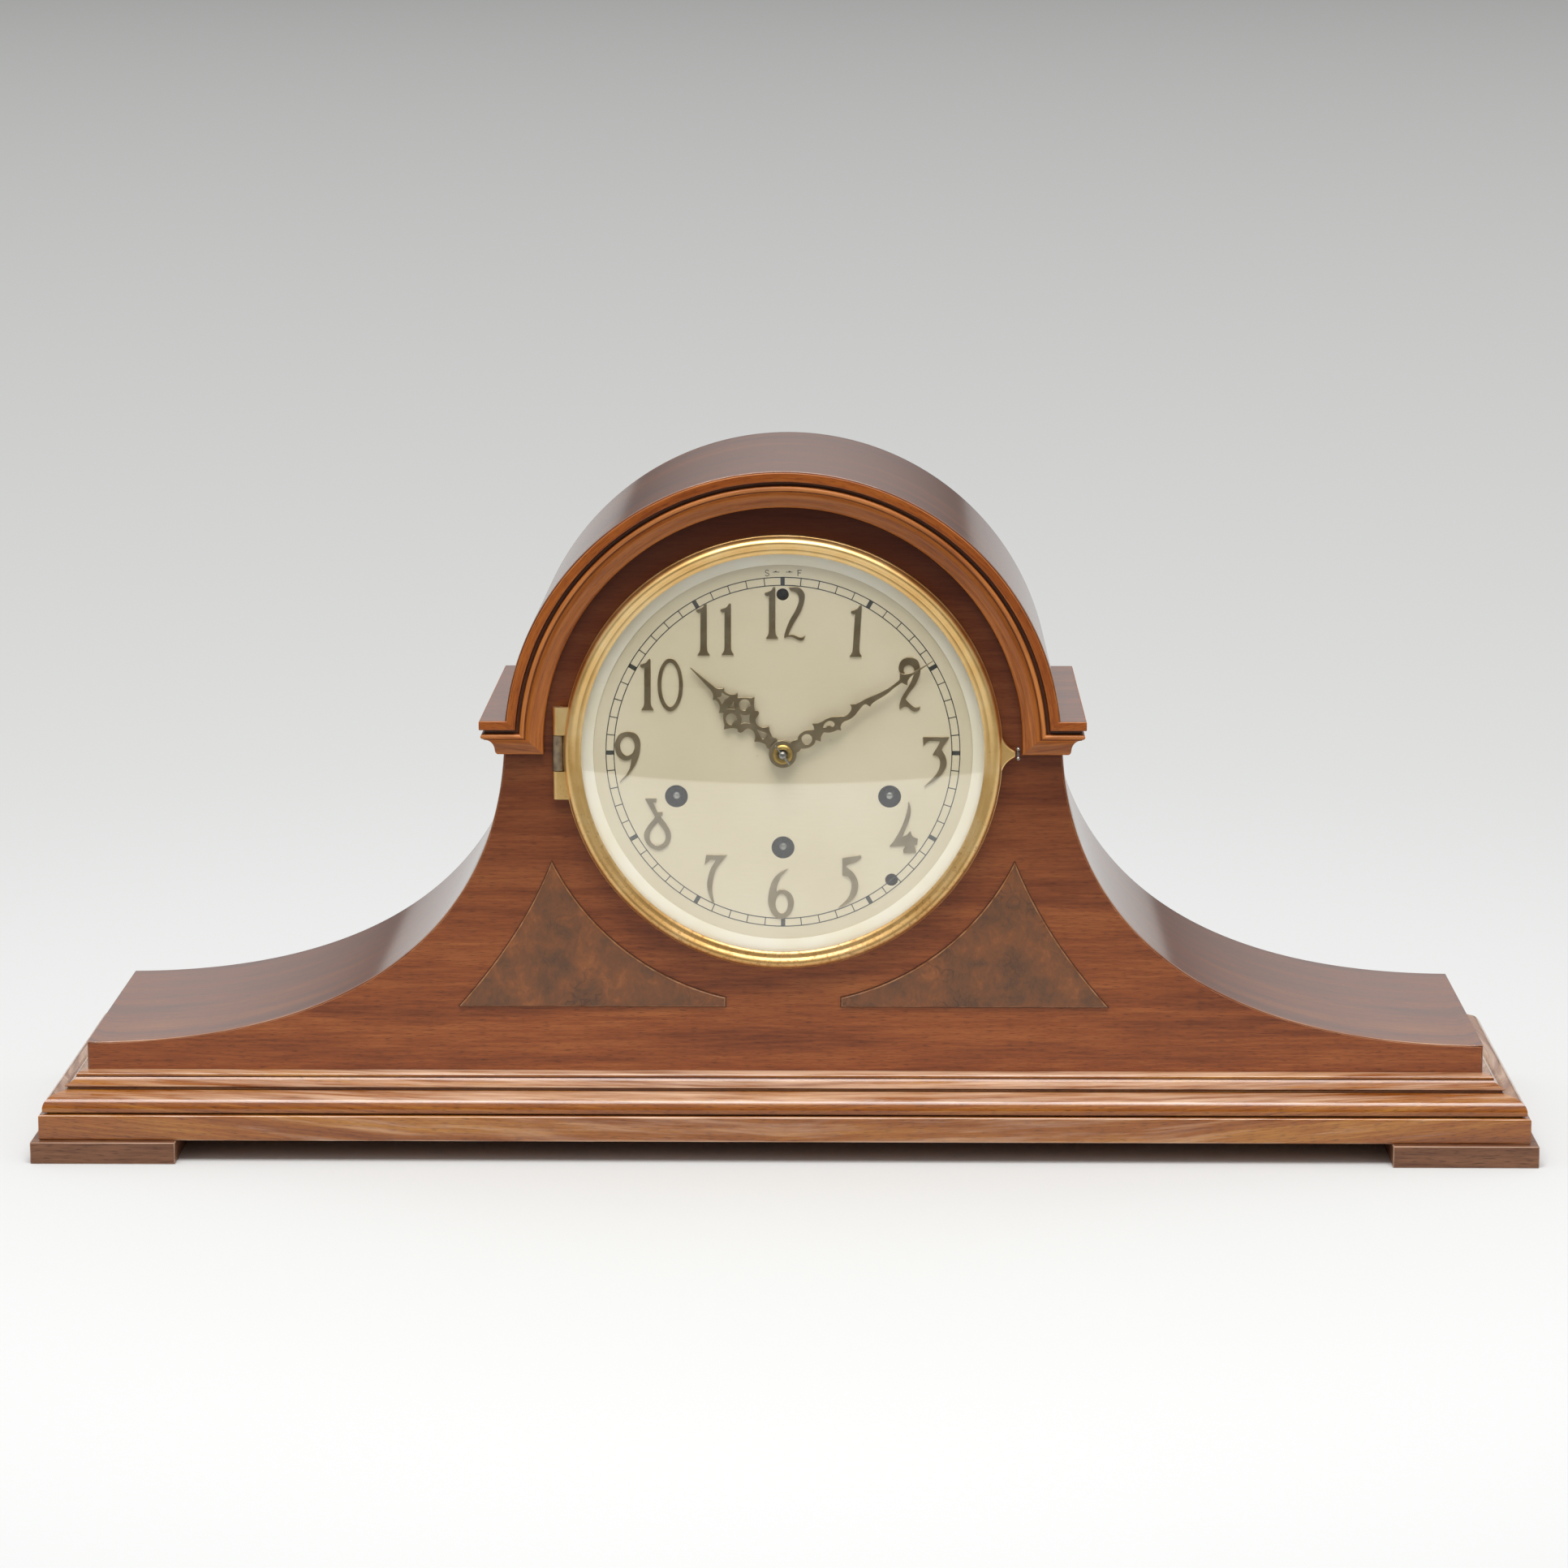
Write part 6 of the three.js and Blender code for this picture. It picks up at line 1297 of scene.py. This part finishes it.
# Silvered sheet: warm white and even, with a soft sheen
CREAM_STOPS = [(0.3, "#f8efd6"), (0.5, "#fbf4e0"), (0.7, "#fdf8e9")]
cream = mottled("silvered_sheet", 20, 3, CREAM_STOPS, 0, 0.36)
sight_section = [(GLASS_SEAT, SIGHT_FRONT), (BEZEL_INNER, SIGHT_FRONT), (SIGHT_INNER, SIGHT_BACK - 0.15),
                 (SIGHT_INNER, SIGHT_BACK), (GLASS_SEAT, SIGHT_BACK)]
sight = piece("sight_dished", lathe(sight_section, 0, DIAL_Z, 144), cream)
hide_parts("sight_ring")
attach(sight, "bezel")

# Bezel hinge and catch
# A browned leaf let into the front board, with its knuckle between those of the bezel, a steel
# pin through all three, and a split steel spring that grips the lug at the right.
LEAF_LENGTH = 12.0

# Tarnished brass: grey brown with paler clouds, half dull
TARNISH_STOPS = [(0.3, "#6a5a46"), (0.5, "#857560"), (0.7, "#a08e70")]
tarnished = mottled("tarnished_brass", 3, 4, TARNISH_STOPS, 0.4, 0.45)
middle_roll = arc((HINGE_X, HINGE_Y), KNUCKLE, KNUCKLE, 180, 480, 26)
middle_strip = [(HINGE_X - 1.0, 0.4), (HINGE_X + LEAF_LENGTH, 0.4), (HINGE_X + LEAF_LENGTH, 1.5),
                (HINGE_X - KNUCKLE, 1.5)]
middle_section = middle_roll + middle_strip
middle_leaf = loft([[(x, y, DIAL_Z + s * HINGE_MIDDLE) for x, y in middle_section] for s in (-1, 1)])
fixed_leaf = piece("hinge_leaf_rolled", middle_leaf, tarnished)
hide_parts("bezel_hinge_leaf")
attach(fixed_leaf, "case")
dress(["bezel_hinge_pin"], bright_steel)

CATCH_X = sum(corner.x for corner in limits("bezel_catch")) / 2
PRONG_OUT = 1.8
PRONG_LENGTH = 4.0
PRONG = [(0, 0.5), (0.6, 0.5), (0.68, 0.66), (0.78, 0.75), (0.88, 0.75), (0.95, 0.6), (1, 0.25)]
prongs = []
for s in (-1, 1):
    z = DIAL_Z + PRONG_OUT * s
    prongs.append(rod((CATCH_X, 0, z), (CATCH_X, -PRONG_LENGTH, z), PRONG))
saddle = block((CATCH_X - 0.5, -0.4, DIAL_Z - PRONG_OUT), (CATCH_X + 0.5, 0, DIAL_Z + PRONG_OUT), 0.15)
catch = piece("catch_prongs", joined(saddle, *prongs), bright_steel)
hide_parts("bezel_catch")
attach(catch, "case")

# Back door
# A round of the same plain wood with an eased edge, hung at its side on a brass butt hinge.
# It lies over the edge of the doorway.
DOOR_EASE = 1.2


def faced_back(form, rear):
    """A form made front first from y 0, turned so that its front looks back at a depth."""
    form["points"] = [(x, rear - y, z) for x, y, z in form["points"]]
    form["faces"] = [tuple(reversed(face)) for face in form["faces"]]
    return form


door_form = plate([circle(0, DOOR_Z, DOOR_RADIUS, 144)], 0, DOOR_BACK - DOOR_FRONT, DOOR_EASE)
door = piece("door_round", faced_back(door_form, DOOR_BACK), stained_poplar)
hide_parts("back_door")
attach(door, "rear_door")

# Door hinge and turn button
# A brass butt hinge with one leaf screwed to the back board and a narrower one to the door, and
# a brass button that turns on a screw to keep the door shut.
DOOR_KNUCKLE = 2.0
LEAF = 0.8
LEAF_EASE = 0.2
HEAD = 0.5
HEAD_PROUD = 0.2
HEAD_EASE = 0.12
SCREW = 1.9
SLOT = 0.5
(LEAF_OUTER, _, LEAF_FOOT), (LEAF_INNER, LEAF_REAR, LEAF_HEAD) = limits("door_hinge_leaf")
(_, _, STRAP_FOOT), (STRAP_REACH, _, STRAP_HEAD) = limits("door_hinge_strap")
LEAF_HALF = (LEAF_HEAD - LEAF_FOOT) / 2
STRAP_HALF = (STRAP_HEAD - STRAP_FOOT) / 2
DOOR_HINGE_X = LEAF_INNER - DOOR_KNUCKLE
DOOR_HINGE_Y = LEAF_REAR - DOOR_KNUCKLE


def screw_head(x, z, rear, lie):
    """A flat screw head in two halves with its slot between them."""
    start = math.degrees(math.asin(SLOT / 2 / SCREW))
    halves = []
    for turn in (lie, lie + 180):
        loop = arc((x, z), SCREW, SCREW, turn + start, turn + 180 - start, 16)
        halves.append(plate([loop], 0, HEAD, HEAD_EASE, 2))
    return faced_back(joined(*halves), rear)


def knuckle(z0, z1):
    """A rolled knuckle about the hinge line."""
    rolled = [(0, DOOR_KNUCKLE - 0.2), (0.03, DOOR_KNUCKLE), (0.97, DOOR_KNUCKLE), (1, DOOR_KNUCKLE - 0.2)]
    ends = [(DOOR_HINGE_X, DOOR_HINGE_Y, DOOR_Z + z) for z in (z0, z1)]
    return rod(*ends, rolled, 32)


notch = STRAP_HALF + 0.3
corners = [(LEAF_OUTER, -LEAF_HALF), (DOOR_HINGE_X, -LEAF_HALF), (DOOR_HINGE_X, -notch),
           (DOOR_HINGE_X - DOOR_KNUCKLE - 0.3, -notch)]
leaf_loop = [(x, DOOR_Z + z) for x, z in corners] + [(x, DOOR_Z - z) for x, z in corners[::-1]]
leaf_plate = faced_back(plate([leaf_loop], 0, LEAF, LEAF_EASE, 2), DEPTH + LEAF)
leaf_screws = [screw_head(LEAF_OUTER + x, DOOR_Z + z, DEPTH + LEAF + HEAD_PROUD, lie)
               for x, z, lie in ((5.5, -10.5, 24), (5.5, 10.5, 71), (11.0, 0.0, 130))]
leaf_curls = [knuckle(-LEAF_HALF, -notch), knuckle(notch, LEAF_HALF)]
case_leaf = piece("door_leaf_screwed", joined(leaf_plate, *leaf_curls), plate_brass)
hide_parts("door_hinge_leaf")
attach(case_leaf, "case")

strap_loop = [(x, DOOR_Z + s * STRAP_HALF) for x, s in (
    (DOOR_HINGE_X, -1), (STRAP_REACH, -1), (STRAP_REACH, 1), (DOOR_HINGE_X, 1))]
strap_plate = faced_back(plate([strap_loop], 0, LEAF, LEAF_EASE, 2), DOOR_BACK + LEAF)
web = block((DOOR_HINGE_X, DOOR_HINGE_Y, DOOR_Z - STRAP_HALF),
            (DOOR_HINGE_X + DOOR_KNUCKLE, DOOR_BACK + LEAF - 0.1, DOOR_Z + STRAP_HALF), LEAF_EASE)
strap_screws = [screw_head(DOOR_HINGE_X + x, DOOR_Z, DOOR_BACK + LEAF + HEAD_PROUD, lie)
                for x, lie in ((7.5, 95), (14.0, 40))]
strap_form = joined(knuckle(-STRAP_HALF, STRAP_HALF), web, strap_plate)
door_leaf = piece("door_strap_screwed", strap_form, plate_brass)
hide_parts("door_hinge_strap")
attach(door_leaf, "rear_door")

(BUTTON_LEFT, BUTTON_SEAT, _), (_, BUTTON_REAR, BUTTON_HEAD) = limits("door_turn_button")
BUTTON = 4.0
BUTTON_END = BUTTON * 2 / 3
BUTTON_THICK = 1.2
BUTTON_EASE = 0.4
BOSS = 3.0
BUTTON_X = BUTTON_LEFT + BUTTON
BUTTON_TIP = BUTTON_HEAD - BUTTON_END
arm_loop = arc((BUTTON_X, DOOR_Z), BUTTON, BUTTON, 180, 360, 24)
arm_loop += arc((BUTTON_X, BUTTON_TIP), BUTTON_END, BUTTON_END, 0, 180, 20)
arm = faced_back(plate([arm_loop], 0, BUTTON_THICK, BUTTON_EASE, 3), BUTTON_REAR - HEAD_PROUD)
boss_section = [(0, BUTTON_SEAT), (BOSS, BUTTON_SEAT), (BOSS, BUTTON_REAR - 1), (0, BUTTON_REAR - 1)]
boss = lathe(boss_section, BUTTON_X, DOOR_Z, 40)
button = piece("button_turned", joined(arm, boss), plate_brass)
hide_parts("door_turn_button")
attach(button, "turn_button")
dress(["door_hinge_pin"], bright_steel)
button_screw = screw_head(BUTTON_X, DOOR_Z, BUTTON_REAR, 60)
for name, heads, body in (("leaf_screws", leaf_screws, "case"), ("strap_screws", strap_screws, "rear_door"),
                          ("button_screw", [button_screw], "turn_button")):
    screws = piece(name, joined(*heads), bright_steel)
    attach(screws, body)

# Studio
# A sheet of white paper under the clock, running out to grey far behind it, under a soft light
# from above. The paper ends a little way in front.
PAPER_FRONT = -0.66
PAPER_REACH = 40.0
PAPER_LIGHT = 0.74  # one metre out
PAPER_FALL = -0.266  # for each tenfold distance
BACKDROP = 0.31

# White paper: flat white near the clock, with a light of its own farther out that fades to grey
paper, tree = finish("white_paper")
place = add(tree, "TexCoord", out="Object")
depth = add(tree, "SeparateXYZ", {0: place}, out="Y")
edge = add(tree, "MapRange", {"Value": depth, "From Min": PAPER_FRONT - 0.01, "From Max": PAPER_FRONT + 0.01})
path = add(tree, "LightPath").node
kept = add(tree, "Math", {0: edge, 1: path.outputs["Is Camera Ray"]}, operation="MAXIMUM")
ground = add(tree, "Mix", {0: kept, 6: linear("#4a4a48"), 7: linear("#dedfde")}, out=2, data_type="RGBA")
sheet = add(tree, "BsdfDiffuse", {"Color": ground})
far = add(tree, "VectorMath", {0: place}, out="Value", operation="LENGTH")
decades = add(tree, "Math", {0: far, 1: 10.0}, operation="LOGARITHM")
falling = add(tree, "Math", {0: decades, 1: PAPER_FALL, 2: PAPER_LIGHT}, operation="MULTIPLY_ADD")
sweep = add(tree, "Emission", {"Color": linear("#fdfefc"), "Strength": falling})
seen = add(tree, "Math", {0: path.outputs["Is Camera Ray"], 1: path.outputs["Is Glossy Ray"]},
           operation="MAXIMUM")
seen = add(tree, "Math", {0: seen, 1: path.outputs["Is Transmission Ray"]}, operation="MAXIMUM")
distant = add(tree, "MapRange", {"Value": far, "From Min": 0.35}, interpolation_type="SMOOTHSTEP")
shown = add(tree, "Math", {0: seen, 1: distant}, operation="MULTIPLY")
white_only = add(tree, "Math", {0: shown, 1: kept}, operation="MULTIPLY")
shader = add(tree, "MixShader", {0: white_only, 1: sheet, 2: sweep})
add(tree, "OutputMaterial", {"Surface": shader})
floor_mesh = bpy.data.meshes.new("floor")
paper_corners = [(x * PAPER_REACH, y * PAPER_REACH, 0) for x, y in ((-1, -1), (1, -1), (1, 1), (-1, 1))]
floor_mesh.from_pydata(paper_corners, [], [(0, 1, 2, 3)])
floor_mesh.materials.append(paper)
floor = bpy.data.objects.new("floor", floor_mesh)
bpy.context.scene.collection.objects.link(floor)

world = bpy.data.worlds.new("studio")
world.use_nodes = True
tree = world.node_tree
tree.nodes.clear()
look = add(tree, "SeparateXYZ", {0: add(tree, "TexCoord", out="Generated")}).node
behind = add(tree, "MapRange", {"Value": look.outputs[1], "From Min": -1.0, "To Min": 0.05, "To Max": 0.56})
sideways = add(tree, "Math", {0: look.outputs[0], 1: look.outputs[0]}, operation="MULTIPLY")
sides = add(tree, "Math", {0: sideways, 1: 0.3, 2: behind}, operation="MULTIPLY_ADD")
height = add(tree, "MapRange", {"Value": look.outputs[2], "From Min": 0.1, "From Max": 0.8, "To Max": 0.25})
level = add(tree, "Math", {0: sides, 1: height}, operation="ADD")
skirting = add(tree, "MapRange", {"Value": look.outputs[2], "From Max": 0.2, "To Min": 0.1})
dimmed = add(tree, "Math", {0: level, 1: skirting}, operation="MULTIPLY")
facing = add(tree, "MapRange", {"Value": look.outputs[1], "From Min": -0.3, "From Max": -1.0, "To Max": 0.5})
raised = add(tree, "MapRange", {"Value": look.outputs[2], "From Min": 0.15, "From Max": 0.45})
wall = add(tree, "Math", {0: facing, 1: raised, 2: dimmed}, operation="MULTIPLY_ADD")
camera_ray = add(tree, "LightPath", out="Is Camera Ray")
shown = add(tree, "Mix", {0: camera_ray, 2: wall, 3: BACKDROP}, data_type="FLOAT")
sky = add(tree, "Background", {"Color": (1, 1, 1, 1), "Strength": shown})
add(tree, "OutputWorld", {"Surface": sky})
bpy.context.scene.world = world

LAMP_POWER = 42.5
LAMP_LIFT = math.radians(65)  # above the level, toward the front
LAMP_AWAY = 2.2
LAMP_AIM = 0.13  # height of the middle of the clock
lamp_data = bpy.data.lights.new("front_softbox", "AREA")
lamp_data.shape = "RECTANGLE"
lamp_data.size = 1.6
lamp_data.size_y = 1.05
lamp_data.energy = LAMP_POWER
lamp = bpy.data.objects.new("front_softbox", lamp_data)
lamp.location = (0.0, -LAMP_AWAY * math.cos(LAMP_LIFT), LAMP_AIM + LAMP_AWAY * math.sin(LAMP_LIFT))
lamp.rotation_euler = (math.pi / 2 - LAMP_LIFT, 0, 0)
bpy.context.scene.collection.objects.link(lamp)

LENS = 111.8
CAMERA_AT = (0.0328, -1.8569, 0.4708)
YAW = -0.018
PITCH = 0.18
ROLL = -0.0016
ahead = Vector((math.sin(YAW) * math.cos(PITCH), math.cos(YAW) * math.cos(PITCH), -math.sin(PITCH)))
level_right = Vector((math.cos(YAW), -math.sin(YAW), 0))
level_up = level_right.cross(ahead)
across = level_right * math.cos(ROLL) + level_up * math.sin(ROLL)
upward = level_up * math.cos(ROLL) - level_right * math.sin(ROLL)
camera_data = bpy.data.cameras.new("camera")
camera_data.lens = LENS
camera_data.sensor_width = 36
camera = bpy.data.objects.new("camera", camera_data)
camera.matrix_world = Matrix.Translation(CAMERA_AT) @ Matrix((across, upward, -ahead)).transposed().to_4x4()
bpy.context.scene.collection.objects.link(camera)
bpy.context.scene.camera = camera
bpy.context.scene.view_settings.view_transform = "Standard"
